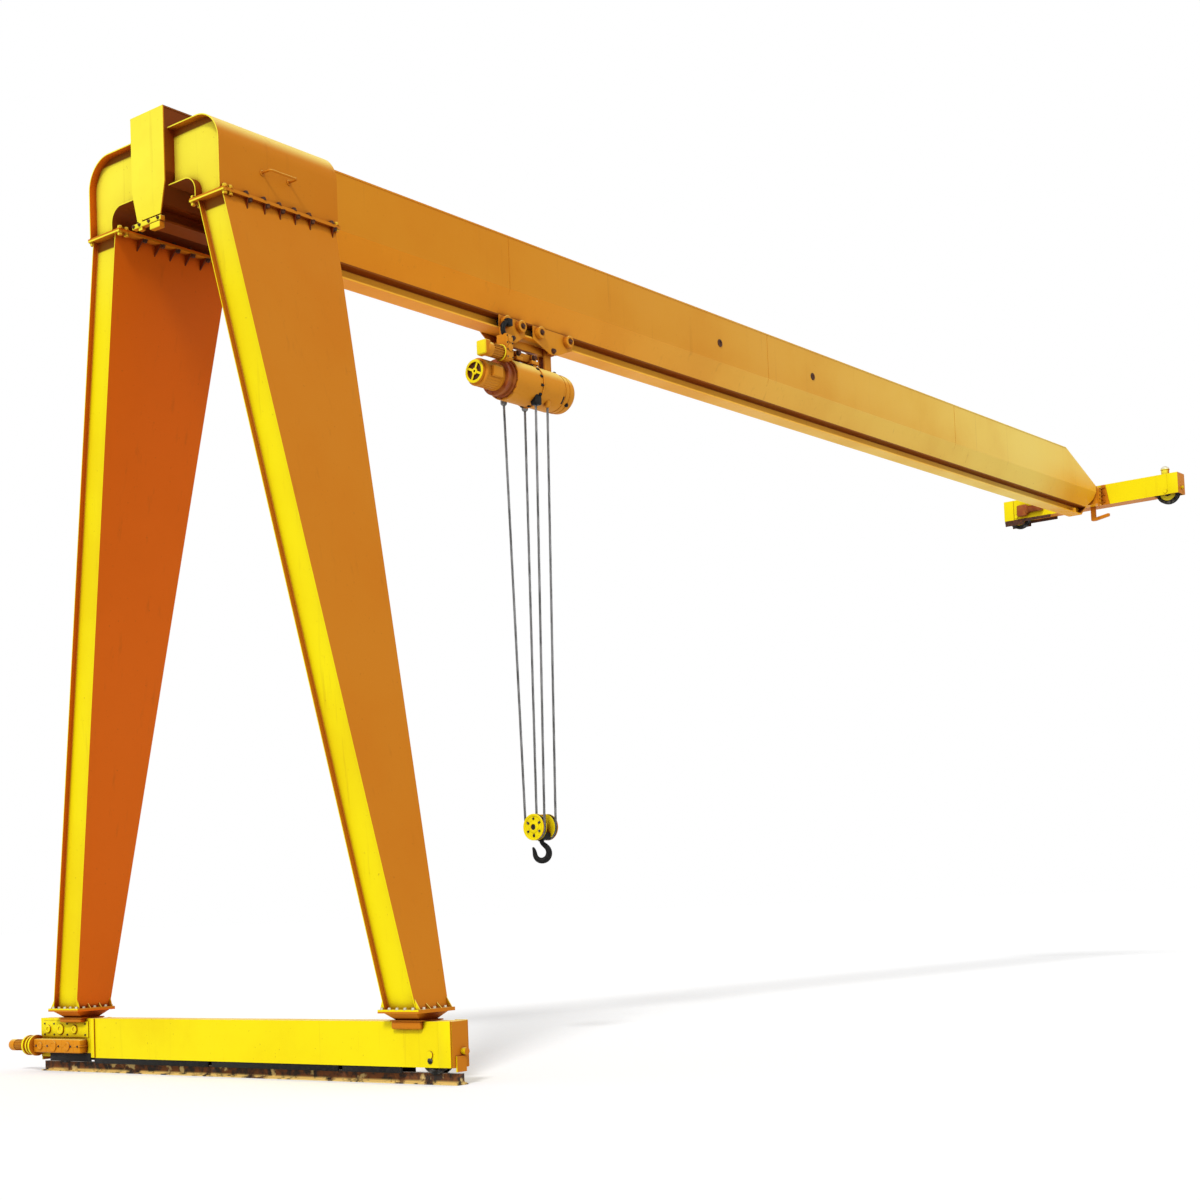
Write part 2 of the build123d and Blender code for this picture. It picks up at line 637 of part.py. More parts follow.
def end_truck():
    x0 = TRUCK_X
    x1 = TRUCK_X + TRUCK_WIDTH
    mid = (x0 + x1) / 2
    end = TRUCK_HALF_LENGTH
    wheel_reach = TRUCK_WHEEL_RADIUS + WHEEL_LIP + WHEEL_END_GAP
    wheel_y = end - TRUCK_WALL - wheel_reach
    wheel_z = TRUCK_BOTTOM + TRUCK_AXLE_RISE
    bay = wheel_y - wheel_reach
    beam = box(x0, x1, -end, end, TRUCK_BOTTOM, TRUCK_TOP)
    beam -= box(
        x0 + TRUCK_WALL, x1 - TRUCK_WALL, -end + TRUCK_WALL, end - TRUCK_WALL,
        TRUCK_BOTTOM - CUT_OVERRUN, TRUCK_TOP - TRUCK_WALL,
    )
    beam += box(x0 + TRUCK_WALL, x1 - TRUCK_WALL, -bay, bay, TRUCK_BOTTOM, TRUCK_BOTTOM + TRUCK_WALL)
    axle_half = TRUCK_WIDTH / 2 - AXLE_INSET
    caps = []
    buffers = []
    for name, sign in (("right", -1), ("left", 1)):
        y = sign * wheel_y
        beam -= axle_bore(x0, x1, y, wheel_z)
        save(f"truck_wheel_{name}", flanged_wheel(mid, y, wheel_z, TRUCK_WHEEL_RADIUS, axle_half))
        caps.append(rod_x(x0 - CAP_THICK, x0, y, wheel_z, CAP_RADIUS))
        caps.append(rod_x(x1, x1 + CAP_THICK, y, wheel_z, CAP_RADIUS))
        tip = sign * (end + BUFFER_LENGTH)
        buffers.append(rod_y(mid, sign * end, tip, TRUCK_TOP - BUFFER_DROP, BUFFER_RADIUS))
    save("truck_beam", beam)
    save("truck_bearing_caps", *caps)
    save("truck_buffers", *buffers)

    motor_y = TRUCK_MOTOR_SETBACK - end
    motor_top = TRUCK_TOP + TRUCK_MOTOR_HEIGHT
    save("truck_motor", rod_z(mid, motor_y, TRUCK_TOP, motor_top, TRUCK_MOTOR_RADIUS))

    bar_x0 = x0 + TRUCK_WALL
    bar_x1 = bar_x0 + COLLECTOR_BAR
    low = TRUCK_BOTTOM - COLLECTOR_DROP
    far = COLLECTOR_Y - COLLECTOR_REACH
    post = COLLECTOR_Y - COLLECTOR_POST
    heel = low - COLLECTOR_BAR
    hanger = prism_x(
        (
            (COLLECTOR_Y, TRUCK_BOTTOM), (COLLECTOR_Y, heel), (post, heel), (far, heel + COLLECTOR_RISE),
            (far, low + COLLECTOR_RISE), (post, low), (post, TRUCK_BOTTOM),
        ),
        bar_x0, bar_x1,
    )
    save("collector_bracket", hanger)


def trolley():
    inner = TRACK_HALF + TROLLEY_PLATE_GAP
    outer = inner + TROLLEY_PLATE_THICK
    boss = outer + TROLLEY_BOSS_LENGTH
    top = TROLLEY_WHEEL_Z + TROLLEY_PLATE_RISE
    shoulder = TROLLEY_WHEEL_Z - TROLLEY_PLATE_SHOULDER
    low = HANGER_Z - TROLLEY_TIP_DROP
    bore = TROLLEY_AXLE_RADIUS + RUNNING_FIT
    plates = []
    for tip, pair in zip(HANGER_TIPS, (TROLLEY_WHEEL_X[:2], TROLLEY_WHEEL_X[2:])):
        x0 = pair[0] - TROLLEY_PLATE_MARGIN
        x1 = pair[1] + TROLLEY_PLATE_MARGIN
        outline = (
            (x0, top), (x1, top), (x1, shoulder), (tip + TROLLEY_TIP_HALF, low),
            (tip - TROLLEY_TIP_HALF, low), (x0, shoulder),
        )
        plate = prism_y(outline, inner, outer)
        for x in pair:
            plate += rod_y(x, outer, boss, TROLLEY_WHEEL_Z, TROLLEY_BOSS_RADIUS)
            plate -= rod_y(x, inner - CUT_OVERRUN, boss + CUT_OVERRUN, TROLLEY_WHEEL_Z, bore)
        plates.extend((plate, flip(plate)))
    save("trolley_plates", *plates)

    casing_core = rod_x(CASING_START, CASING_END, 0, HOIST_Z, CASING_RADIUS)
    neck_core = rod_x(HOIST_NECK_START, CASING_START, 0, HOIST_Z, HOIST_NECK_RADIUS)
    motor_core = rod_x(HOIST_MOTOR_START, HOIST_NECK_START, 0, HOIST_Z, HOIST_MOTOR_RADIUS)
    hangers = []
    for tip in HANGER_TIPS:
        hanger = rod_y(tip, -inner, inner, HANGER_Z, HANGER_SHAFT_RADIUS)
        for side in (-1, 1):
            lug_in = side * HANGER_LUG_GAP / 2
            hanger += box(
                tip - HANGER_LUG_HALF, tip + HANGER_LUG_HALF, lug_in, lug_in + side * HANGER_LUG_THICK,
                HOIST_Z + HOIST_MOTOR_RADIUS, HANGER_Z + HANGER_SHAFT_RADIUS,
            )
        hangers.append(hanger - casing_core - neck_core - motor_core)
    save("trolley_hangers", *hangers)

    wheel_out = TRACK_HALF - TROLLEY_WHEEL_INSET
    axle_end = outer + TROLLEY_BOSS_LENGTH / 2
    for name, x in zip(("first", "second", "third", "fourth"), TROLLEY_WHEEL_X):
        pair = []
        for side in (-1, 1):
            wheel_in = wheel_out - TROLLEY_WHEEL_WIDTH
            roller = rod_y(x, side * wheel_in, side * wheel_out, TROLLEY_WHEEL_Z, TROLLEY_WHEEL_RADIUS)
            roller += rod_y(x, side * wheel_out, side * axle_end, TROLLEY_WHEEL_Z, TROLLEY_AXLE_RADIUS)
            pair.append(roller)
        save(f"trolley_wheels_{name}", *pair)

    gear_x = HANGER_TIPS[0] - TRAVEL_BOX_SETBACK
    gear_top = TROLLEY_WHEEL_Z - TROLLEY_BOSS_RADIUS - TRAVEL_BOX_HEADROOM
    motor_z = HANGER_Z - TRAVEL_MOTOR_DROP
    gear_end = gear_x + TRAVEL_BOX_LENGTH
    gear = box(
        gear_x, gear_end, TRAVEL_MOTOR_Y - TRAVEL_MOTOR_RADIUS, -outer,
        motor_z - TRAVEL_MOTOR_RADIUS, gear_top - TRAVEL_BOX_DROP,
    )
    gear += box(
        gear_end - TRAVEL_SEAT_LENGTH, gear_end, -outer - TRAVEL_SEAT_THICK, -outer,
        gear_top - TRAVEL_BOX_DROP, gear_top,
    )
    save("travel_gearbox", gear)
    motor_x = gear_x - TRAVEL_MOTOR_LENGTH
    save("travel_motor", rod_x(motor_x, gear_x, TRAVEL_MOTOR_Y, motor_z, TRAVEL_MOTOR_RADIUS))


def tube_x(x0, x1, z, radius, wall):
    """Open-ended tube along X on the middle plane."""
    bore = rod_x(x0 - CUT_OVERRUN, x1 + CUT_OVERRUN, 0, z, radius - wall)
    return rod_x(x0, x1, 0, z, radius) - bore


def hoist():
    cover_x = HOIST_MOTOR_START - HOIST_COVER_LENGTH
    body = rod_x(HOIST_MOTOR_START, HOIST_NECK_START, 0, HOIST_Z, HOIST_MOTOR_RADIUS)
    body += rod_x(cover_x, HOIST_MOTOR_START, 0, HOIST_Z, HOIST_COVER_RADIUS)
    save("hoist_motor", body)
    save("hoist_neck", rod_x(HOIST_NECK_START, CASING_START, 0, HOIST_Z, HOIST_NECK_RADIUS))

    casing = tube_x(CASING_START, CASING_END, HOIST_Z, CASING_RADIUS, CASING_WALL)
    casing -= box(
        CASING_START - CUT_OVERRUN, CASING_END + CUT_OVERRUN, -CASING_SLOT_HALF, CASING_SLOT_HALF,
        HOIST_Z - CASING_RADIUS - CUT_OVERRUN, HOIST_Z - DRUM_RADIUS,
    )
    save("hoist_casing", casing)
    save("hoist_drum", tube_x(CASING_START, CASING_END, HOIST_Z, DRUM_RADIUS, DRUM_WALL))

    gearbox = rod_x(CASING_END, GEARBOX_END, 0, HOIST_Z, GEARBOX_RADIUS)
    rim = gearbox.edges().filter_by(GeomType.CIRCLE).sort_by(Axis.X)[-1]
    gearbox = fillet(rim, GEARBOX_ROUND)
    gearbox -= rod_x(
        CASING_END + GEARBOX_WALL, GEARBOX_END - GEARBOX_ROUND, 0, HOIST_Z,
        GEARBOX_RADIUS - GEARBOX_WALL,
    )
    save("hoist_gearbox", gearbox)


def rope_fall(side_x, side_y, top_offset):
    y = side_y * ROPE_LINE
    low = (HOOK_X + side_x * SHEAVE_SPREAD, y, BLOCK_Z + ROPE_FOOT_GAP)
    high = (HOOK_X + top_offset, y, HOIST_Z)
    return strut(low, high, ROPE_RADIUS)


def bored_disc(x0, x1, radius):
    """Disc on the block's pin."""
    pin_hole = rod_x(x0 - CUT_OVERRUN, x1 + CUT_OVERRUN, 0, BLOCK_Z, PIN_RADIUS)
    return rod_x(x0, x1, 0, BLOCK_Z, radius) - pin_hole


def hook_block():
    falls = []
    sheaves = []
    covers = []
    turns = []
    rim = SHEAVE_ROOT + SHEAVE_DEPTH
    groove = SHEAVE_GROOVE / 2
    for side_x in (-1, 1):
        x = HOOK_X + side_x * SHEAVE_SPREAD
        ring = rod_x(x - groove, x + groove, 0, BLOCK_Z, rim + CUT_OVERRUN)
        ring -= rod_x(x - groove, x + groove, 0, BLOCK_Z, SHEAVE_ROOT)
        sheaves.append(bored_disc(x - SHEAVE_THICK / 2, x + SHEAVE_THICK / 2, rim) - ring)
        for low in (x - COVER_REACH, x + COVER_REACH - COVER_THICK):
            covers.append(bored_disc(low, low + COVER_THICK, COVER_RADIUS))
        for side_y in (-1, 1):
            falls.append(rope_fall(side_x, side_y, ROPE_TOP_OFFSETS[len(falls)]))
        across = Plane(origin=(x, 0, BLOCK_Z), x_dir=(0, 1, 0), z_dir=(1, 0, 0))
        path = across * CenterArc((0, 0), ROPE_LINE, 180, 180)
        start = Plane(origin=path @ 0, z_dir=path % 0)
        turns.append(sweep(start * Circle(ROPE_RADIUS), path=path))
    save("hoist_ropes", *falls)
    save("block_covers", *covers)
    save("block_rope_turns", *turns)

    reach = SHEAVE_SPREAD + COVER_REACH
    pin = rod_x(HOOK_X - reach, HOOK_X + reach, 0, BLOCK_Z, PIN_RADIUS)
    save("block_sheaves", pin, *sheaves)
    yoke_half = SHEAVE_SPREAD - COVER_REACH
    low = YOKE_Z - YOKE_HEIGHT / 2
    high = YOKE_Z + YOKE_HEIGHT / 2
    yoke = box(HOOK_X - yoke_half, HOOK_X + yoke_half, -YOKE_HALF_WIDTH, YOKE_HALF_WIDTH, low, high)
    yoke -= rod_z(HOOK_X, 0, low - CUT_OVERRUN, high + CUT_OVERRUN, SHANK_RADIUS + RUNNING_FIT)
    save("block_yoke", yoke)


def hook():
    """Point hook: an outline of arcs about the mouth's centre, with a round shank and nut."""
    mouth = HOOK_MOUTH_RADIUS
    neck_in = (-SHANK_RADIUS, HOOK_NECK_RISE)
    neck_out = (SHANK_RADIUS, HOOK_NECK_RISE)
    throat = Vector(mouth, 0).rotate(Axis.Z, HOOK_THROAT_ANGLE)
    tip = (-HOOK_TIP_X, HOOK_TIP_RISE)
    front = (-HOOK_FRONT, 0)
    back = (HOOK_BACK, 0)
    edges = [
        Line(neck_out, neck_in),
        Line(neck_in, throat),
        ThreePointArc(throat, (0, -mouth), (-mouth, 0)),
        ThreePointArc((-mouth, 0), (-HOOK_LIP_X, HOOK_LIP_RISE), tip),
        Line(tip, front),
        ThreePointArc(front, (0, -HOOK_BELLY), back),
        ThreePointArc(back, (HOOK_SHOULDER_X, HOOK_SHOULDER_RISE), neck_out),
    ]
    outline = make_face(edges)
    body = extrude(Plane.XZ * outline, amount=HOOK_THICK / 2, both=True)
    body = Pos(HOOK_X, 0, HOOK_Z) * Rot(0, 0, HOOK_TURN) * body
    nut_low = YOKE_Z + YOKE_HEIGHT / 2 + TOUCH_GAP
    nut_top = nut_low + NUT_HEIGHT
    body += rod_z(HOOK_X, 0, HOOK_Z + HOOK_NECK_RISE, nut_top, SHANK_RADIUS)
    body += rod_z(HOOK_X, 0, nut_low, nut_top, NUT_RADIUS)
    save("hook", body)


ground_rail()
carriage()
legs()
shoulders()
girder()
end_truck()
trolley()
hoist()
hook_block()
hook()
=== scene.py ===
import math

import bpy
from mathutils import Matrix, Vector


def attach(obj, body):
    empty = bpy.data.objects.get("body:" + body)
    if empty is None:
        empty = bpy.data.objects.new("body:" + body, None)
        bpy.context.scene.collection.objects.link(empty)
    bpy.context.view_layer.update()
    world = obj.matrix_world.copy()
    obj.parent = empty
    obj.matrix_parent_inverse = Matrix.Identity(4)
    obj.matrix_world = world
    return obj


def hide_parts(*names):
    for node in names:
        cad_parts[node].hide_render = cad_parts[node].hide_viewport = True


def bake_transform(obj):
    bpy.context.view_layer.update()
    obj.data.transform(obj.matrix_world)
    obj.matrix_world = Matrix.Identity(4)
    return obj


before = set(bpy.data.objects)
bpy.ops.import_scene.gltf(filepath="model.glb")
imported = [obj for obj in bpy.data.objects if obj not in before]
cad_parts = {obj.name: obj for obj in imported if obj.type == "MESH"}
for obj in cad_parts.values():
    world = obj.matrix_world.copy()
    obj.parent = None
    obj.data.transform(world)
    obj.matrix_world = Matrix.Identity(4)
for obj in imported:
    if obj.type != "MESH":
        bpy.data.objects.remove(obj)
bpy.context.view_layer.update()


# Ground rail: a rolled steel bar welded to a sole plate, brown with rust, run bright on top and with
# sand along its foot. Twelve floor anchors with washers hold the sole down, and forged clips grip the
# bar's foot.
RAIL_RUST = (0.20, 0.062, 0.012, 1)
RAIL_SAND = (0.88, 0.62, 0.19, 1)
RAIL_SCALE = (0.72, 0.52, 0.20, 1)
RAIL_DARK = (0.022, 0.014, 0.010, 1)
RAIL_WORN = (0.42, 0.40, 0.37, 1)
RAIL_TOP = 0.125
SOLE_TOP = 0.012
ANCHOR_ROWS = (-3.0, 0.0, 3.0)
CLIP_PITCH = 0.52


def new_finish(name):
    """An empty finish, with its shader and the piece's own coordinates."""
    finish = bpy.data.materials.new(name)
    finish.use_nodes = True
    nodes = finish.node_tree.nodes
    return finish, nodes["Principled BSDF"], nodes.new("ShaderNodeTexCoord")


def wire(value, shader, socket):
    """Leads a value to one of the shader's sockets."""
    shader.id_data.links.new(value, shader.inputs[socket])


def grain(place, scale, detail=4.0, stretch=None, roughness=0.55):
    """Cloudy grain on the piece's own coordinates, stretched along an axis where it has to run."""
    tree = place.id_data
    cloud = tree.nodes.new("ShaderNodeTexNoise")
    cloud.inputs["Scale"].default_value = scale
    cloud.inputs["Detail"].default_value = detail
    cloud.inputs["Roughness"].default_value = roughness
    source = place.outputs["Object"]
    if stretch:
        turn = tree.nodes.new("ShaderNodeMapping")
        turn.inputs["Scale"].default_value = stretch
        tree.links.new(source, turn.inputs["Vector"])
        source = turn.outputs["Vector"]
    tree.links.new(source, cloud.inputs["Vector"])
    return cloud.outputs["Fac"]


def axes(vector):
    """The X, Y and Z of a place or a direction."""
    tree = vector.id_data
    parts = tree.nodes.new("ShaderNodeSeparateXYZ")
    tree.links.new(vector, parts.inputs["Vector"])
    return parts.outputs


def spread(value, low, high, to_low=0.0, to_high=1.0):
    """A value between two levels, spread smoothly over a new range."""
    tree = value.id_data
    ramp = tree.nodes.new("ShaderNodeMapRange")
    ramp.interpolation_type = "SMOOTHSTEP"
    for socket, level in zip(ramp.inputs[1:5], (low, high, to_low, to_high)):
        socket.default_value = level
    tree.links.new(value, ramp.inputs["Value"])
    return ramp.outputs["Result"]


def over(amount, below, above):
    """One colour laid over another by an amount; either may be a plain colour."""
    tree = amount.id_data
    coat = tree.nodes.new("ShaderNodeMix")
    coat.data_type = "RGBA"
    tree.links.new(amount, coat.inputs["Factor"])
    for socket, colour in ((coat.inputs[6], below), (coat.inputs[7], above)):
        if isinstance(colour, tuple):
            socket.default_value = colour
        else:
            tree.links.new(colour, socket)
    return coat.outputs[2]


def sums(operation, first, second=0.0):
    """Two values put together by a plain sum; the second may be a number."""
    tree = first.id_data
    plain = tree.nodes.new("ShaderNodeMath")
    plain.operation = operation
    for socket, value in zip(plain.inputs, (first, second)):
        if isinstance(value, float):
            socket.default_value = value
        else:
            tree.links.new(value, socket)
    return plain.outputs["Value"]


def relief(shader, height, distance, strength):
    """Small height differences on the surface, laid over any relief the shader has already."""
    tree = shader.id_data
    bump = tree.nodes.new("ShaderNodeBump")
    bump.inputs["Distance"].default_value = distance
    bump.inputs["Strength"].default_value = strength
    tree.links.new(height, bump.inputs["Height"])
    socket = shader.inputs["Normal"]
    if socket.is_linked:
        tree.links.new(socket.links[0].from_socket, bump.inputs["Normal"])
    tree.links.new(bump.outputs["Normal"], socket)


def dress(finish, *nodes):
    """A new finish in place of the plain one on pieces of the frame."""
    for node in nodes:
        for slot in bpy.data.objects[node].material_slots:
            slot.material = finish


rail_finish, shader, place = new_finish("rusted_rail")
rust = over(spread(grain(place, 9.0, 8.0), 0.38, 0.62), RAIL_DARK, RAIL_RUST)
rust = over(spread(grain(place, 5.0, 3.0), 0.60, 0.68), rust, RAIL_SCALE)
height = axes(place.outputs["Object"])["Z"]
sand = sums("MULTIPLY", spread(height, 0.012, 0.050, 1.0, 0.0),
            spread(grain(place, 4.5, 6.0), 0.38, 0.52))
rust = over(sand, rust, RAIL_SAND)
run = spread(height, RAIL_TOP - 0.006, RAIL_TOP - 0.001)
worn = sums("MULTIPLY", run, spread(grain(place, 2.5, 5.0), 0.25, 0.55))
wire(over(worn, rust, RAIL_WORN), shader, "Base Color")
wire(spread(worn, 0, 1, 0.85, 0.3), shader, "Roughness")
wire(sums("MULTIPLY", worn, 0.9), shader, "Metallic")
relief(shader, grain(place, 60.0, 6.0), 0.004, 0.6)
dress(rail_finish, "ground_rail")


def disc(name, sides, radius, centre=(0, 0, 0), turn=(0, 0, 0)):
    """A round disc, left in edit mode and selected, ready to be pushed out."""
    bpy.ops.object.select_all(action="DESELECT")
    bpy.ops.mesh.primitive_circle_add(vertices=sides, radius=radius, fill_type="NGON",
                                      location=centre, rotation=turn)
    bpy.ops.object.transform_apply()
    piece = bpy.context.object
    piece.name = name
    open_up()
    return piece


def push(step):
    """Pushes what is selected out by a step."""
    bpy.ops.mesh.extrude_region_move(TRANSFORM_OT_translate={"value": step})


def turned(name, start, along, profile, sides=32):
    """A lathe-turned solid: rings given as (distance along the axis, radius) from a start point."""
    axis = Vector(along).normalized()
    start = Vector(start)
    turn = axis.to_track_quat("Z", "Y").to_euler()
    piece = disc(name, sides, profile[0][1], start + axis * profile[0][0], turn)
    for (at, radius), (next_at, next_radius) in zip(profile, profile[1:]):
        push(axis * (next_at - at))
        swell = next_radius / radius
        middle = start + axis * next_at
        bpy.ops.transform.resize(value=(swell, swell, swell), center_override=middle)
    close_up(32)
    return piece


def open_up():
    """Takes the piece in hand into edit mode, with all of it selected."""
    bpy.ops.object.mode_set(mode="EDIT")
    bpy.ops.mesh.select_all(action="SELECT")


def close_up(angle):
    """Turns every face of the piece in hand outwards, leaves edit mode and smooths its shading."""
    bpy.ops.mesh.select_all(action="SELECT")
    bpy.ops.mesh.normals_make_consistent(inside=False)
    bpy.ops.object.mode_set(mode="OBJECT")
    bpy.ops.object.shade_smooth_by_angle(angle=math.radians(angle))


def block(name, low, high, edge=0.004, segments=2):
    """A cut or cast block between two corners, with its edges broken."""
    low, high = Vector(low), Vector(high)
    bpy.ops.object.select_all(action="DESELECT")
    bpy.ops.mesh.primitive_cube_add(size=1, location=(low + high) / 2)
    piece = bpy.context.object
    piece.name = name
    piece.scale = [abs(size) for size in high - low]
    bpy.ops.object.transform_apply()
    bevel = piece.modifiers.new("broken edges", "BEVEL")
    bevel.width = edge
    bevel.segments = segments
    bpy.ops.object.modifier_apply(modifier=bevel.name)
    bpy.ops.object.shade_smooth_by_angle(angle=math.radians(35))
    return piece


def joined(name, pieces):
    """Several pieces made into one object."""
    bpy.ops.object.select_all(action="DESELECT")
    for piece in pieces:
        piece.select_set(True)
    bpy.context.view_layer.objects.active = pieces[0]
    if len(pieces) > 1:
        bpy.ops.object.join()
    whole = bpy.context.object
    whole.name = name
    return whole


def set_out(name, pattern, places):
    """Copies of one pattern, each with its own mesh, at every place, as one object."""
    copies = []
    for matrix in places:
        copy = pattern.copy()
        copy.data = pattern.data.copy()
        copy.data.transform(matrix)
        bpy.context.collection.objects.link(copy)
        copies.append(copy)
    bpy.data.objects.remove(pattern)
    return joined(name, copies)


def facing(point, outward):
    """The placing of a pattern made along +Z, so that it stands out along a direction."""
    turn = Vector(outward).to_track_quat("Z", "Y").to_matrix().to_4x4()
    return Matrix.Translation(Vector(point)) @ turn


def bolts(name, across, places):
    """Hexagon bolts on washers: (point, outward direction) for each."""
    half = across / 2
    head = turned("bolt head", (0, 0, 0), (0, 0, 1),
                  [(half * 0.2, half), (half * 1.1, half), (half * 1.35, half * 0.8)], 6)
    washer = turned("bolt washer", (0, 0, 0), (0, 0, 1),
                    [(-half * 0.1, half * 1.3), (half * 0.2, half * 1.3)], 14)
    return set_out(name, joined("bolt", [head, washer]), [facing(*spot) for spot in places])


def settle(piece, body, slot, finish, *nodes):
    """Gives a piece its finish and its body, and hides the nodes that it stands for. The slot is not used.
    """
    piece.data.materials.clear()
    piece.data.materials.append(finish)
    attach(piece, body)
    if nodes:
        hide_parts(*nodes)


def fix(piece, slot, finish, *nodes):
    """Settles a piece on the crane's frame, which stands still."""
    settle(piece, "crane_frame", slot, finish, *nodes)


anchor_spots = [((side, row + end, SOLE_TOP), (0, 0, 1))
                for row in ANCHOR_ROWS for side in (-0.07, 0.07) for end in (-0.3, 0.3)]
fix(bolts("rail_anchors", 0.030, anchor_spots), "rail_steel", rail_finish)
clip = joined("clip", [block("clip foot", (0.030, -0.035, 0.011), (0.068, 0.035, 0.024), 0.005),
                       block("clip jaw", (0.028, -0.028, 0.018), (0.046, 0.028, 0.036), 0.006)])
clip_places = [Matrix.Translation((0, step * CLIP_PITCH, 0)) @ Matrix.Rotation(turn, 4, "Z")
               for step in range(-7, 8) for turn in (0, math.pi)]
fix(set_out("rail_clips", clip, clip_places), "rail_steel", rail_finish)


# Crane enamel: the plates are sprayed lemon yellow and amber, and each piece also takes lemon on the
# faces across the girder and amber on the flanks along it, as painted light and shade. Tops carry a
# painted highlight, the girder's web painted sheen and shade, rain has left thin brown runs, and
# every corner between plates is darkened red-brown as painted shade.
LEMON = (0.945, 0.795, 0.002, 1)
DEEP_LEMON = (0.935, 0.770, 0.004, 1)
PALE_LEMON = (0.975, 0.880, 0.052, 1)
AMBER = (0.620, 0.206, 0.008, 1)
GIRDER_AMBER = (0.700, 0.262, 0.011, 1)
GIRDER_GOLD = (0.980, 0.335, 0.013, 1)
TRACK_LIT_GOLD = (0.980, 0.480, 0.040, 1)
PAINTED_SHADE_AMBER = (0.740, 0.140, 0.003, 1)
RED_AMBER = (0.545, 0.098, 0.004, 1)
PALE_AMBER = (0.900, 0.640, 0.115, 1)
PAINTED_SHEEN_AMBER = (0.930, 0.720, 0.170, 1)
FOLD_AMBER = (0.990, 0.740, 0.150, 1)
END_GOLD = (0.880, 0.390, 0.005, 1)
PAINTED_TOP_HIGHLIGHT = (0.940, 0.710, 0.165, 1)
RUN_BROWN = (0.30, 0.085, 0.006, 1)
CORNER_SHADE = (0.20, 0.022, 0.001, 1)
SHADE_BROWN = (0.170, 0.038, 0.003, 1)
PAINTED_SHADOW_BROWN = (0.170, 0.030, 0.002, 1)
RIB_DIRT_AND_SHADE = (0.045, 0.012, 0.003, 1)


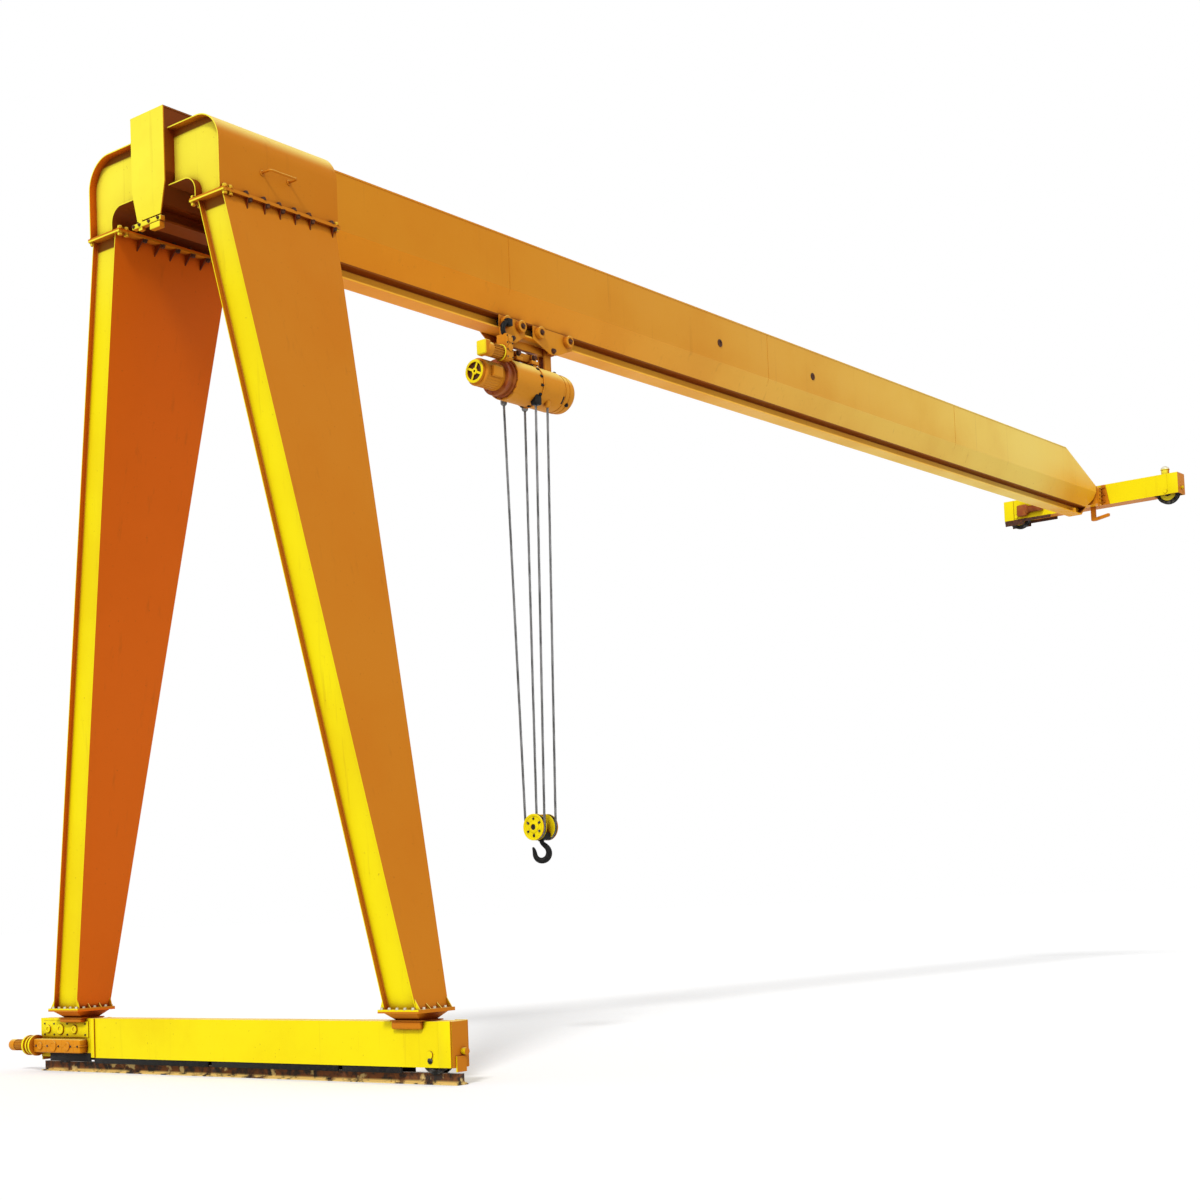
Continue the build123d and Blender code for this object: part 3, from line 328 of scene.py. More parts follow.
def crane_enamel(name, across, along=None, painted_girder_light=False, shaded_side=False, shaded_ribs=None, shadow_band=None, hood=None,
                 corner_shade=0.95):
    """Sprayed paint on plate, with stains, runs and specks: one colour on faces across the girder and
    another on flanks along it, as painted light and shade of one paint.

    Painted shade turns a piece near black below a given rib height, browns a strip above a given
    height and the soffit between the legs below the hood height, and darkens every corner and recess.
    """
    finish, shader, place = new_finish(name)
    way = axes(place.outputs["Normal"])
    spot = axes(place.outputs["Object"])
    colour = along or across
    # Towards +Y the piece is painted a deeper, redder amber: painted shade on the far side.
    if shaded_side:
        colour = over(spread(spot["Y"], -0.3, 0.5), colour, PAINTED_SHADE_AMBER)
    # Painted light and shade on the girder: down-facing faces are painted a lighter gold, the web pales
    # towards the far end as a painted sheen, a deeper gold lies on the far end's lower web, and below X
    # 0.9, between the shoulders, the girder is painted dark brown as shade.
    if painted_girder_light:
        far = sums("MULTIPLY", spread(spot["X"], 3.0, 26.5),
                   spread(spot["Z"], 10.2, 11.3, 0.55, 1.0))
        down_facing_light = spread(way["Z"], -0.5, -0.1, 0.8, 0.0)
        colour = over(down_facing_light, colour, GIRDER_GOLD)
        colour = over(far, colour, PALE_AMBER)
        colour = over(spread(spot["X"], 17.0, 21.5, 0.0, 0.5), colour, PAINTED_SHEEN_AMBER)
        lit = sums("MULTIPLY", down_facing_light, spread(spot["X"], 4.0, 18.0, 0.0, 0.75))
        colour = over(lit, colour, FOLD_AMBER)
        end = sums("MULTIPLY", spread(spot["X"], 21.8, 24.6),
                   spread(spot["Z"], 10.5, 11.3, 1.0, 0.25))
        colour = over(end, colour, END_GOLD)
        colour = over(spread(spot["X"], 0.55, 1.0, 1.0, 0.0), colour, SHADE_BROWN)
    # Up-facing surfaces are painted paler: a painted highlight on the tops.
    colour = over(spread(way["Z"], 0.26, 0.75), colour, PAINTED_TOP_HIGHLIGHT)
    if hood:
        between = spread(sums("ABSOLUTE", spot["Y"]), 0.80, 0.95, 1.0, 0.0)
        soffit = sums("MULTIPLY", between, spread(spot["Z"], hood - 0.05, hood, 1.0, 0.0))
        colour = over(soffit, colour, SHADE_BROWN)
    # Faces across the girder get the lemon, paler towards the top, and flanks along it the amber: painted
    # light and shade of one paint.
    face = over(spread(spot["Z"], 9.0, 11.0), across, PALE_LEMON) if across == LEMON else across
    lit_face_mask = spread(sums("ABSOLUTE", way["X"]), 0.25, 0.85)
    # Below the flange the ribs lose the lemon and are painted near black: painted shade.
    if shaded_ribs:
        lit_face_mask = sums("MULTIPLY", lit_face_mask, spread(spot["Z"], shaded_ribs - 0.002, shaded_ribs))
        colour = over(spread(spot["Z"], shaded_ribs - 0.004, shaded_ribs, 1.0, 0.0), colour, RIB_DIRT_AND_SHADE)
    colour = over(lit_face_mask, colour, face)
    # Above a given height the faces are painted brown: a painted shadow under the flange or lip above.
    if shadow_band:
        colour = over(spread(spot["Z"], shadow_band - 0.02, shadow_band, 0.0, 0.93), colour, PAINTED_SHADOW_BROWN)
    cloud = grain(place, 0.55, 5.0)
    colour = over(spread(cloud, 0.42, 0.72, 0.0, 0.14), colour, RED_AMBER)
    runs = grain(place, 1.0, 6.0, (9.0, 9.0, 0.32), 0.65)
    colour = over(spread(runs, 0.58, 0.76, 0.0, 0.20), colour, RUN_BROWN)
    specks = grain(place, 26.0, 2.0)
    colour = over(spread(specks, 0.70, 0.76, 0.0, 0.35), colour, RUN_BROWN)
    # Ambient occlusion darkens corners and recesses red-brown: painted shade.
    corner = finish.node_tree.nodes.new("ShaderNodeAmbientOcclusion")
    corner.samples = 6
    corner.inputs["Distance"].default_value = 0.2
    colour = over(spread(corner.outputs["AO"], 0.30, 0.88, corner_shade, 0.0), colour, CORNER_SHADE)
    wire(colour, shader, "Base Color")
    wire(spread(cloud, 0.3, 0.7, 0.42, 0.58), shader, "Roughness")
    shader.inputs["Specular IOR Level"].default_value = 0.10
    relief(shader, grain(place, 1.1, 2.0), 0.02, 0.25)
    relief(shader, grain(place, 140.0, 2.0), 0.0015, 0.15)
    return finish


lemon_enamel = crane_enamel("lemon_enamel", LEMON, AMBER)
amber_enamel = crane_enamel("amber_enamel", AMBER, shaded_side=True)
edged_enamel = crane_enamel("edged_enamel", LEMON, AMBER, shaded_side=True)
# The girder's amber is a brighter copy of the leg amber, as painted light on the web.
girder_enamel = crane_enamel("girder_enamel", GIRDER_AMBER, painted_girder_light=True)
strip_enamel = crane_enamel("strip_enamel", LEMON, AMBER, shadow_band=10.17)
truck_enamel = crane_enamel("truck_enamel", DEEP_LEMON, AMBER)
shoulder_enamel = crane_enamel("shoulder_enamel", LEMON, AMBER, shadow_band=11.19)
skin_enamel = crane_enamel("skin_enamel", LEMON, AMBER, shaded_side=True, hood=10.85)
# The track beam is painted a lighter gold with little corner shade, as painted light in its recess, and a
# brown strip along its top is its painted shadow under the girder.
track_enamel = crane_enamel("track_enamel", TRACK_LIT_GOLD, painted_girder_light=True, shadow_band=10.378, corner_shade=0.3)
dress(lemon_enamel, "carriage_beam", "carriage_wheel_boxes", "carriage_buffers", "rail_sweepers",
      "carriage_bearing_caps", "foot_flanges", "girder_near_end")
dress(truck_enamel, "truck_beam", "truck_buffers", "truck_bearing_caps")
dress(strip_enamel, "left_leg_faces", "right_leg_faces")
dress(shoulder_enamel, "shoulder_faces")
dress(edged_enamel, "left_leg_sides", "right_leg_sides")
dress(skin_enamel, "left_shoulder_skin", "right_shoulder_skin")
dress(amber_enamel, "pedestals", "shoulder_bases")
dress(girder_enamel, "girder_top_plate", "girder_near_web", "girder_far_web", "girder_far_end")
dress(track_enamel, "track_beam", "track_stops")


# Carriage trim: doubler plates at the beam's ends, a bolted bearing plate on the left wheel box,
# and saddles welded over the beam's edge under each pedestal. All are plate, painted with the beam.
trim = []
saddles = []
for way, plate_foot in ((-1, 0.440), (1, 0.300)):
    trim += [block("right doubler", (way * 0.147, -3.645, 0.189), (way * 0.124, -3.465, 0.694), 0.006),
             block("left doubler", (way * 0.144, 2.575, 0.189), (way * 0.124, 2.645, 0.690), 0.006),
             block("bearing plate", (way * 0.107, 2.74, plate_foot), (way * 0.094, 3.70, 0.650), 0.006)]
    saddles += [block("saddle", (way * 0.185, -3.235, 0.603), (way * 0.120, -2.795, 0.6905), 0.022, 4),
                block("saddle", (way * 0.185, 2.795, 0.640), (way * 0.090, 3.235, 0.6905), 0.018, 4)]
for y, radius in ((3.02, 0.055), (3.32, 0.070), (3.58, 0.050)):
    trim.append(turned("plate boss", (-0.106, y, 0.545), (-1, 0, 0),
                       [(0, radius), (0.016, radius), (0.022, radius * 0.9), (0.022, radius * 0.5),
                        (0.014, radius * 0.42)], 28))
fix(joined("carriage_trim", trim), "yellow_paint", lemon_enamel)
fix(joined("pedestal_saddles", saddles), "amber_paint", amber_enamel)


# Running wheels: cast steel wheels with a lip on each side, on axles in the carriage and the truck.
# The tread is polished by the rail, and grease and dust lie dark on the dished webs. The truck's
# webs are painted, and the right carriage wheel has a grease point below its bearing.
CARRIAGE_WHEEL_Y = 3.32
CARRIAGE_WHEEL_Z = 0.3253
TRUCK_X, TRUCK_Z = 25.69, 10.562
TRUCK_WHEELS = (("truck_wheel_right", -1.8), ("truck_wheel_left", 1.8))
STEEL_DARK = (0.012, 0.011, 0.010, 1)
STEEL_BRIGHT = (0.16, 0.155, 0.15, 1)


def mottled(name, tones, patches, levels, rough, pits, metal=0.0, specular=0.5):
    """A finish in two mottled tones, with a roughness for each or one for both, and fine pits."""
    finish, shader, place = new_finish(name)
    tone = spread(grain(place, *patches), *levels)
    wire(over(tone, *tones), shader, "Base Color")
    if isinstance(rough, tuple):
        wire(spread(tone, 0, 1, *rough), shader, "Roughness")
    else:
        shader.inputs["Roughness"].default_value = rough
    shader.inputs["Metallic"].default_value = metal
    shader.inputs["Specular IOR Level"].default_value = specular
    relief(shader, grain(place, *pits[:2]), *pits[2:])
    return finish


wheel_steel = mottled("wheel_steel", (STEEL_DARK, STEEL_BRIGHT), (14.0, 7.0), (0.42, 0.75),
                      (0.65, 0.36), (90.0, 4.0, 0.002, 0.3), metal=0.6)


def running_wheel(body, centre, tread, reach):
    """A wheel with two lips, dished webs, a hub and its axle, turned about X."""
    half_tread, lip, height, hub, axle = 0.036, 0.020, 0.020, 0.085, 0.035
    edge = half_tread + lip
    side = [(-reach, axle * 0.9), (-reach + 0.004, axle), (-edge - 0.012, axle),
            (-edge - 0.012, hub), (-edge + 0.022, hub + 0.008), (-edge + 0.022, tread - 0.055),
            (-edge, tread - 0.035), (-edge, tread + height - 0.006),
            (-edge + 0.006, tread + height), (-half_tread - 0.004, tread + height - 0.002),
            (-half_tread, tread)]
    other = [(-at, radius) for at, radius in reversed(side)]
    wheel = turned(body + "_cast", centre, (1, 0, 0), side + other, 48)
    settle(wheel, body, "bare_steel", wheel_steel, body)


running_wheel("carriage_wheel_right", (0, -CARRIAGE_WHEEL_Y, CARRIAGE_WHEEL_Z), 0.2, 0.123)
running_wheel("carriage_wheel_left", (0, CARRIAGE_WHEEL_Y, CARRIAGE_WHEEL_Z), 0.2, 0.093)
for body, y in TRUCK_WHEELS:
    running_wheel(body, (TRUCK_X, y, TRUCK_Z), 0.242, 0.188)
for body, y in TRUCK_WHEELS:
    webs = [turned("web", (TRUCK_X + way * 0.028, y, TRUCK_Z), (way, 0, 0),
                   [(0, 0.180), (0.014, 0.186), (0.018, 0.180), (0.012, 0.120), (0.020, 0.090)], 40)
            for way in (-1, 1)]
    settle(joined(body + "_web", webs), body, "yellow_paint", lemon_enamel)
dress(wheel_steel, "hoist_drum", "block_sheaves")
grease_point = turned("carriage_grease_point", (-0.124, -CARRIAGE_WHEEL_Y, 0.262), (-1, 0, 0),
                      [(0, 0.034), (0.012, 0.034), (0.016, 0.028), (0.016, 0.016), (0.028, 0.014)], 24)
fix(grease_point, "bare_steel", wheel_steel)


# Rail skirts: black steel strips that hang from the carriage beam close beside the rail, with a guard
# at the left wheel. They are bolted on from behind, and their black is painted shade for the gap under the
# beam.
IRON = (0.007, 0.007, 0.0075, 1)
IRON_SCALE = (0.022, 0.021, 0.020, 1)
black_iron = mottled("forged_iron", (IRON, IRON_SCALE), (22.0, 7.0), (0.4, 0.7), (0.40, 0.7),
                     (120.0, 5.0, 0.002, 0.5), specular=0.12)
skirts = []
for way in (-1, 1):
    for low, high in ((-2.87, -1.93), (-1.86, 0.33), (0.40, 2.62)):
        skirts.append(block("skirt", (way * 0.113, low, 0.116), (way * 0.092, high, 0.196), 0.005))
    skirts.append(block("wheel guard", (way * 0.108, 2.70, 0.135), (way * 0.090, 3.56, 0.240), 0.005))
fix(joined("rail_shadow_skirts", skirts), "black_iron", black_iron)


# Carriage drive: a gear reducer with a split housing on the left wheel box, a ribbed bell housing,
# and a finned motor with a fan cowl. All three are cast, bolted end to end, and painted over.
DRIVE_X = -0.165
DRIVE_Z = 0.3353
MOTOR_BROWN = (0.30, 0.060, 0.008, 1)
MOTOR_DUST = (0.38, 0.110, 0.013, 1)
DRIVE_GOLD = (0.72, 0.27, 0.008, 1)
motor_enamel = mottled("motor_enamel", (MOTOR_BROWN, MOTOR_DUST), (6.0, 6.0), (0.4, 0.7), (0.45, 0.7),
                       (90.0, 3.0, 0.0015, 0.3), specular=0.3)


def around(count, first=0.0):
    """Even steps round a circle, in radians."""
    return [math.radians(first) + 2 * math.pi * step / count for step in range(count)]


def finned_motor(name, start, along, length, radius, fins):
    """A motor: end shields, a barrel with cooling fins along it, and a fan cowl at its far end."""
    shares = ((0.06, 1), (0.07, 0.86), (0.68, 0.86), (0.69, 0.98), (0.72, 1), (0.95, 1), (1, 0.88),
              (1, 0.70), (0.985, 0.66), (0.985, 0.2))
    rings = [(0, radius * 0.9), (0.001, radius)] + [(length * at, radius * out) for at, out in shares]
    barrel = turned(name, start, along, rings, 36)
    fin = block("fin", (-radius * 0.026, radius * 0.84, length * 0.065),
                (radius * 0.026, radius * 0.99, length * 0.685), 0.001, 1)
    places = [facing(start, along) @ Matrix.Rotation(turn, 4, "Z") for turn in around(fins)]
    return joined(name, [barrel, set_out("fins", fin, places)])


housing = [block("housing", (-0.231, 2.77, 0.248), (-0.098, 3.775, 0.422), 0.020, 3),
           block("split rib", (-0.236, 2.76, DRIVE_Z - 0.010), (-0.095, 3.79, DRIVE_Z + 0.010), 0.004)]
for y in (2.90, 3.14, 3.48, 3.72):
    housing.append(block("cast rib", (-0.2345, y - 0.008, 0.255), (-0.10, y + 0.008, 0.415), 0.004))
for y, radius in ((3.02, 0.056), (3.32, 0.072), (3.60, 0.050)):
    housing.append(turned("bearing boss", (-0.226, y, DRIVE_Z), (-1, 0, 0),
                          [(0, radius), (0.018, radius), (0.022, radius * 0.93),
                           (0.022, radius * 0.6), (0.016, radius * 0.5)], 28))
bell = turned("carriage_drive_bell", (DRIVE_X, 3.745, DRIVE_Z), (0, 1, 0),
              [(0, 0.101), (0.001, 0.137), (0.033, 0.137), (0.038, 0.112), (0.074, 0.110),
               (0.079, 0.128), (0.105, 0.128), (0.110, 0.110), (0.140, 0.108),
               (0.146, 0.132), (0.179, 0.132), (0.185, 0.083)], 40)
fix(bell, "yellow_paint", lemon_enamel)
drive_enamel = crane_enamel("drive_enamel", DRIVE_GOLD)
fix(joined("carriage_drive_reducer", housing), "amber_paint", drive_enamel, "carriage_reducer")
drive_bolts = [((DRIVE_X + 0.125 * math.cos(turn), 3.778, DRIVE_Z + 0.125 * math.sin(turn)), (0, 1, 0))
               for turn in around(8, 22.5)]
drive_bolts += [((-0.235, y, DRIVE_Z), (-1, 0, 0)) for y in (2.80, 2.94, 3.20, 3.44, 3.68, 3.755)]
drive_bolts += [((-0.107, y, z), (-1, 0, 0)) for y in (2.80, 3.18, 3.46, 3.66) for z in (0.475, 0.615)]
fix(bolts("drive_bolts", 0.020, drive_bolts), "bare_steel", wheel_steel)
drive_motor = finned_motor("carriage_drive_motor", (DRIVE_X, 3.93, DRIVE_Z), (0, 1, 0), 0.37, 0.075, 20)
fix(drive_motor, "motor_paint", drive_enamel, "carriage_motor")


# Leg feet: each leg is bolted to its pedestal through a flange, with zinc bolts round the edge and
# triangular gussets welded between the flange and the leg's flanks.
FOOT_TOP = 0.823
ZINC = (0.74, 0.70, 0.55, 1)
ZINC_DULL = (0.42, 0.36, 0.22, 1)
zinc_finish = mottled("zinc_bolts", (ZINC, ZINC_DULL), (20.0, 5.0), (0.4, 0.7), (0.4, 0.7),
                      (150.0, 3.0, 0.001, 0.3), metal=0.35)


def traced(name, outline, fill):
    """An outline through its corners in order, left in edit mode and selected."""
    bpy.ops.object.select_all(action="DESELECT")
    bpy.ops.mesh.primitive_circle_add(vertices=len(outline), fill_type=fill)
    piece = bpy.context.object
    piece.name = name
    for corner, point in zip(piece.data.vertices, outline):
        corner.co = point
    open_up()
    return piece


def cut_plate(name, outline, thickness, edge=0.0015):
    """A flame-cut plate: its outline, pushed out to its thickness."""
    piece = traced(name, outline, "NGON")
    push(thickness)
    close_up(35)
    bevel = piece.modifiers.new("dressed edges", "BEVEL")
    bevel.width = edge
    bpy.ops.object.modifier_apply(modifier=bevel.name)
    return piece


LEG_LEAN = 2.044 / 9.454
foot_spots = [(x, y) for x in (-0.274, 0.274) for y in (2.75, 2.87, 2.99, 3.11, 3.23)]
foot_spots += [(x, y) for x in (-0.17, 0.0, 0.17) for y in (2.734, 3.292)]
foot_bolts = [((x, side * y, FOOT_TOP), (0, 0, 1)) for side in (-1, 1) for x, y in foot_spots]
foot_gussets = []
for side in (-1, 1):
    for x, rise in ((-0.252, 0.115), (-0.085, 0.06), (0.085, 0.06), (0.252, 0.115)):
        for foot, reach in ((3.258, 3.318), (2.768, 2.708)):
            corners = ((foot, -0.001), (reach, -0.001), (foot - rise * LEG_LEAN + 0.004, rise))
            outline = [(x - 0.006, side * y, FOOT_TOP + up) for y, up in corners]
            foot_gussets.append(cut_plate("foot gusset", outline, (0.012, 0, 0)))
fix(bolts("foot_flange_bolts", 0.034, foot_bolts), "bare_steel", zinc_finish)
fix(joined("foot_flange_gussets", foot_gussets), "yellow_paint", lemon_enamel)


# Leg welds: the face strips are welded in between the side plates, a little back from their edges.
# The bead runs the full height in each corner, front and back, and is painted over.
weld_enamel = crane_enamel("weld_enamel", AMBER, shaded_side=True)


def bead(name, start, end, radius):
    """A run of weld between two points."""
    start, end = Vector(start), Vector(end)
    length = (end - start).length
    return turned(name, start, end - start,
                  [(0, radius * 0.5), (0.01, radius), (length - 0.01, radius), (length, radius * 0.5)], 8)


leg_welds = [bead("leg weld", (way * 0.189, side * foot, 0.825), (way * 0.821, side * head, 10.275), 0.008)
             for side in (-1, 1) for way in (-1, 1) for foot, head in ((2.779, 0.786), (3.247, 1.203))]
fix(joined("leg_welds", leg_welds), "amber_paint", weld_enamel)


# Head flanges: the legs meet the shoulders in a bolted joint of two plates, stiffened by ribs below
# that are painted near black as shade. A dark bolt, its colour partly painted shade, stands beside
# each rib, and heavy painted bolts at the corners.
FLANGE_TOP = 10.317
FLANGE_BOTTOM = 10.277
RIB_DUST = (0.12, 0.032, 0.006, 1)
head_enamel = crane_enamel("head_enamel", LEMON, AMBER, shaded_ribs=FLANGE_BOTTOM)
dress(head_enamel, "head_flanges")
# Near-black finish for bolts, nuts, slots, vents and guards: dirt, and painted shade where it stands for
# shadow or dark openings.
rib_dirt_and_shade = mottled("rib_dirt_and_shade", (RIB_DIRT_AND_SHADE, RIB_DUST), (18.0, 6.0), (0.4, 0.7), 0.8, (120.0, 4.0, 0.002, 0.4))
RIB_X = (-0.55, -0.28, -0.04, 0.20, 0.44, 0.81)
CORNERS = ((-0.88, 1.238), (-0.80, 1.238), (0.88, 1.238), (-0.885, 0.69), (-0.79, 0.69), (0.885, 0.69))
flange_bolts = []
corner_bolts = []
for level, up, shift in ((FLANGE_TOP, 1, -0.012), (FLANGE_BOTTOM, -1, 0.045)):
    for side in (-1, 1):
        flange_bolts += [((x + shift, side * y, level), (0, 0, up)) for x in RIB_X for y in (1.241, 0.695)]
        corner_bolts += [((x, side * y, level), (0, 0, up)) for x, y in CORNERS]
fix(bolts("head_flange_bolts", 0.056, flange_bolts), "bare_steel", rib_dirt_and_shade)
fix(bolts("head_corner_bolts", 0.060, corner_bolts), "yellow_paint", lemon_enamel)


# Grab handle: a round bar bent twice and welded to the right shoulder's flank, as a hand hold.
# Spin turns against the sign of its angle, so a bend to the left has a negative one.
HANDLE_Z = 10.655
HANDLE_START, HANDLE_END = -0.28, 0.14
HANDLE_BEND = 0.03
HANDLE_WALL, HANDLE_REACH = -1.212, 0.12
handle = disc("bent bar", 12, 0.013, (HANDLE_START, HANDLE_WALL, HANDLE_Z), (math.pi / 2, 0, 0))
push((0, -HANDLE_REACH, 0))
bends = [(x, HANDLE_WALL - HANDLE_REACH, HANDLE_Z)
         for x in (HANDLE_START + HANDLE_BEND, HANDLE_END - HANDLE_BEND)]
bpy.ops.mesh.spin(steps=5, angle=-math.pi / 2, axis=(0, 0, 1), center=bends[0])
push((bends[1][0] - bends[0][0], 0, 0))
bpy.ops.mesh.spin(steps=5, angle=-math.pi / 2, axis=(0, 0, 1), center=bends[1])
push((0, HANDLE_REACH, 0))
close_up(40)
feet = [turned("handle foot", (x, HANDLE_WALL - 0.001, HANDLE_Z), (0, -1, 0),
               [(0, 0.034), (0.008, 0.034), (0.012, 0.028)], 20) for x in (HANDLE_START, HANDLE_END)]
fix(joined("shoulder_handle", [handle] + feet), "amber_paint", weld_enamel)


# Girder trim: welds along the top plate, the webs' splices and the track, two lifting sockets in the
# near web, and at the near end of the track a bolted clamp with a bump block.
seams = []
for side in (-1, 1):
    seams.append(bead("top weld", (-0.97, side * 0.306, 11.519), (23.75, side * 0.306, 11.519), 0.007))
    seams.append(bead("track weld", (-0.97, side * 0.139, 10.410), (24.9, side * 0.139, 10.410), 0.008))
    for x in (5.2, 11.9, 18.6):
        seams.append(bead("splice weld", (x, side * 0.306, 10.76), (x, side * 0.306, 11.52), 0.004))
        seams.append(bead("splice weld", (x, side * 0.139, 10.41), (x, side * 0.306, 10.755), 0.004))
fix(joined("girder_welds", seams), "amber_paint", girder_enamel)
sockets = [turned("socket", (x, -0.304, 11.07), (0, -1, 0),
                  [(0, 0.062), (0.010, 0.062), (0.014, 0.056), (0.014, 0.036), (0.002, 0.034)], 28)
           for x in (10.465, 13.325)]
fix(joined("girder_sockets", sockets), "amber_paint", rib_dirt_and_shade)
clamp = [block("clamp bar", (-1.010, -0.235, 10.165), (-0.940, 0.300, 10.225), 0.010, 3),
         block("clamp jaw", (-1.000, 0.12, 10.13), (-0.945, 0.19, 10.26), 0.008),
         block("bump block", (-1.012, -0.215, 10.085), (-0.930, -0.030, 10.160), 0.012, 3)]
fix(joined("track_end_clamp", clamp), "yellow_paint", lemon_enamel)
clamp_bolts = [((-1.010, y, 10.195), (-1, 0, 0)) for y in (-0.19, -0.02, 0.155, 0.265)]
fix(bolts("track_clamp_bolts", 0.034, clamp_bolts), "bare_steel", rib_dirt_and_shade)


# End truck trim: bolts, plates and straps at the girder's seat, doublers at the ends, a geared drive
# and rail guards at the left wheel, a domed motor over the right one, and a flat-bar bracket that hangs
# below the seat.
TRUCK_FACE = 25.489
seat_bolts = []
for side in (-1, 1):
    seat_bolts += [((x, side * 0.321, z), (0, side, 0))
                   for z in (10.53, 10.62, 10.71, 10.80, 10.86) for x in (25.375, 25.455)]
    seat_bolts += [((TRUCK_FACE, side * y, z), (-1, 0, 0))
                   for y in (0.345, 0.395) for z in (10.56, 10.72, 10.88)]
fix(bolts("seat_bolts", 0.034, seat_bolts), "bare_steel", weld_enamel)
truck_trim = [block("end doubler", (x, side * 1.86, 10.49), (x + 0.014, side * 2.10, 10.95), 0.004)
              for side in (-1, 1) for x in (25.488, 25.878)]
fix(joined("truck_trim", truck_trim), "yellow_paint", truck_enamel)
drive = [block("gear case", (25.385, 1.50, 10.540), (25.50, 1.74, 10.800), 0.030, 3),
         turned("gear flange", (25.430, 1.505, 10.680), (0, -1, 0),
                [(0, 0.090), (0.03, 0.090), (0.035, 0.080)], 32)]
fix(joined("truck_gear_case", drive), "motor_paint", motor_enamel)
truck_barrel = finned_motor("truck_drive_motor", (25.430, 1.472, 10.680), (0, -1, 0), 0.36, 0.075, 18)
fix(truck_barrel, "motor_paint", motor_enamel)
# Near-black rail and wheel guards at the left wheel stand in as painted shade under the truck.
guards = []
for x in (25.488, 25.864):
    guards += [block("rail guard", (x, 0.95, 10.430), (x + 0.028, 2.092, 10.492), 0.006),
               block("wheel guard", (x, 1.62, 10.365), (x + 0.028, 2.085, 10.440), 0.006)]
fix(joined("truck_shadow_guards", guards), "black_iron", rib_dirt_and_shade)
SEAT = ((0.318, 10.492), (0.50, 10.492), (0.41, 10.945), (0.318, 10.945))
straps = []
for side in (-1, 1):
    straps += [cut_plate("seat plate", [(TRUCK_FACE, side * y, z) for y, z in SEAT], (0.012, 0, 0)),
               block("seat strap", (25.262, side * 0.319, 10.42), (25.325, side * 0.336, 10.84), 0.004)]
fix(joined("seat_straps", straps), "amber_paint", weld_enamel)
cap_body = turned("truck_motor_body", (TRUCK_X, -1.75, 10.95), (0, 0, 1),
                  [(0, 0.105), (0.02, 0.105), (0.024, 0.088), (0.115, 0.088), (0.12, 0.098),
                   (0.135, 0.098)], 36)
fix(cap_body, "yellow_paint", lemon_enamel, "truck_motor")
cap_dome = turned("truck_motor_dome", (TRUCK_X, -1.75, 11.085), (0, 0, 1),
                  [(0, 0.094), (0.025, 0.090), (0.048, 0.074), (0.066, 0.048), (0.077, 0.018)], 36)
fix(cap_dome, "bare_steel", zinc_finish)
HANGING = ((-0.025, 10.495), (-0.025, 10.19), (-0.045, 10.172), (-0.13, 10.171), (-0.44, 10.227),
           (-0.455, 10.243), (-0.455, 10.285), (-0.44, 10.296), (-0.15, 10.245), (-0.13, 10.262),
           (-0.13, 10.495))
bracket = cut_plate("seat_bracket", [(25.516, y, z) for y, z in HANGING], (0.07, 0, 0), 0.004)
fix(bracket, "yellow_paint", weld_enamel, "collector_bracket")


# Trolley: two side plates on each side of the track carry the wheels in round bosses, with a nut on
# each axle. Between the two bolted hangers lies a cradle, and a limit arm stands at the near side.
AXLE_X = (5.20, 5.52, 5.95, 6.60)
AXLE_Z = 10.2953
BOSS_FACE = 0.2365
CASING_AMBER = (0.700, 0.272, 0.016, 1)
casing_enamel = crane_enamel("casing_enamel", CASING_AMBER)
nodes = casing_enamel.node_tree.nodes
relief(nodes["Principled BSDF"], grain(nodes["Texture Coordinate"], 70.0, 1.0), 0.002, 0.3)
dress(casing_enamel, "trolley_plates", "trolley_hangers", "travel_gearbox", "hoist_casing", "hoist_gearbox")
dress(wheel_steel, "trolley_wheels_first", "trolley_wheels_second", "trolley_wheels_third",
      "trolley_wheels_fourth")


def hang(piece, slot, finish, *nodes):
    """Settles a piece on the trolley."""
    settle(piece, "trolley", slot, finish, *nodes)


boss = turned("boss cap", (0, 0, 0), (0, 0, 1),
              [(0, 0.080), (0.001, 0.086), (0.010, 0.086), (0.016, 0.078), (0.016, 0.050),
               (0.006, 0.046)], 32)
axle_ends = [((x, side * BOSS_FACE, AXLE_Z), (0, side, 0)) for x in AXLE_X for side in (-1, 1)]
hang(set_out("trolley_boss_caps", boss, [facing(*end) for end in axle_ends]), "casing_paint", casing_enamel)
nut_spots = [((x, y + out[1] * 0.005, z), out) for (x, y, z), out in axle_ends]
hang(bolts("trolley_axle_nuts", 0.058, nut_spots), "bare_steel", rib_dirt_and_shade)
cradle = [block("cradle beam", (5.300, -0.038, 9.868), (6.050, 0.038, 9.990), 0.010, 3),
          block("tie beam", (5.300, -0.038, 10.035), (6.335, 0.038, 10.150), 0.008),
          block("cradle foot", (5.520, -0.110, 9.835), (5.660, 0.110, 9.895), 0.012, 3),
          block("cradle foot", (5.860, -0.110, 9.835), (6.020, 0.110, 9.895), 0.012, 3)]
LUG_X = (5.59, 5.94)
for x in LUG_X:
    cradle.append(turned("cradle lug", (x, -0.075, 9.945), (0, 1, 0),
                         [(0, 0.040), (0.004, 0.048), (0.146, 0.048), (0.150, 0.040)], 28))
hang(joined("hoist_cradle", cradle), "casing_paint", casing_enamel)
hanger_nuts = []
for side in (-1, 1):
    hanger_nuts += [((x, side * 0.177, 10.095), (0, side, 0)) for x in (5.36, 6.275)]
    hanger_nuts += [((x, side * 0.075, 9.945), (0, side, 0)) for x in LUG_X]
hang(bolts("hanger_nuts", 0.066, hanger_nuts), "bare_steel", rib_dirt_and_shade)

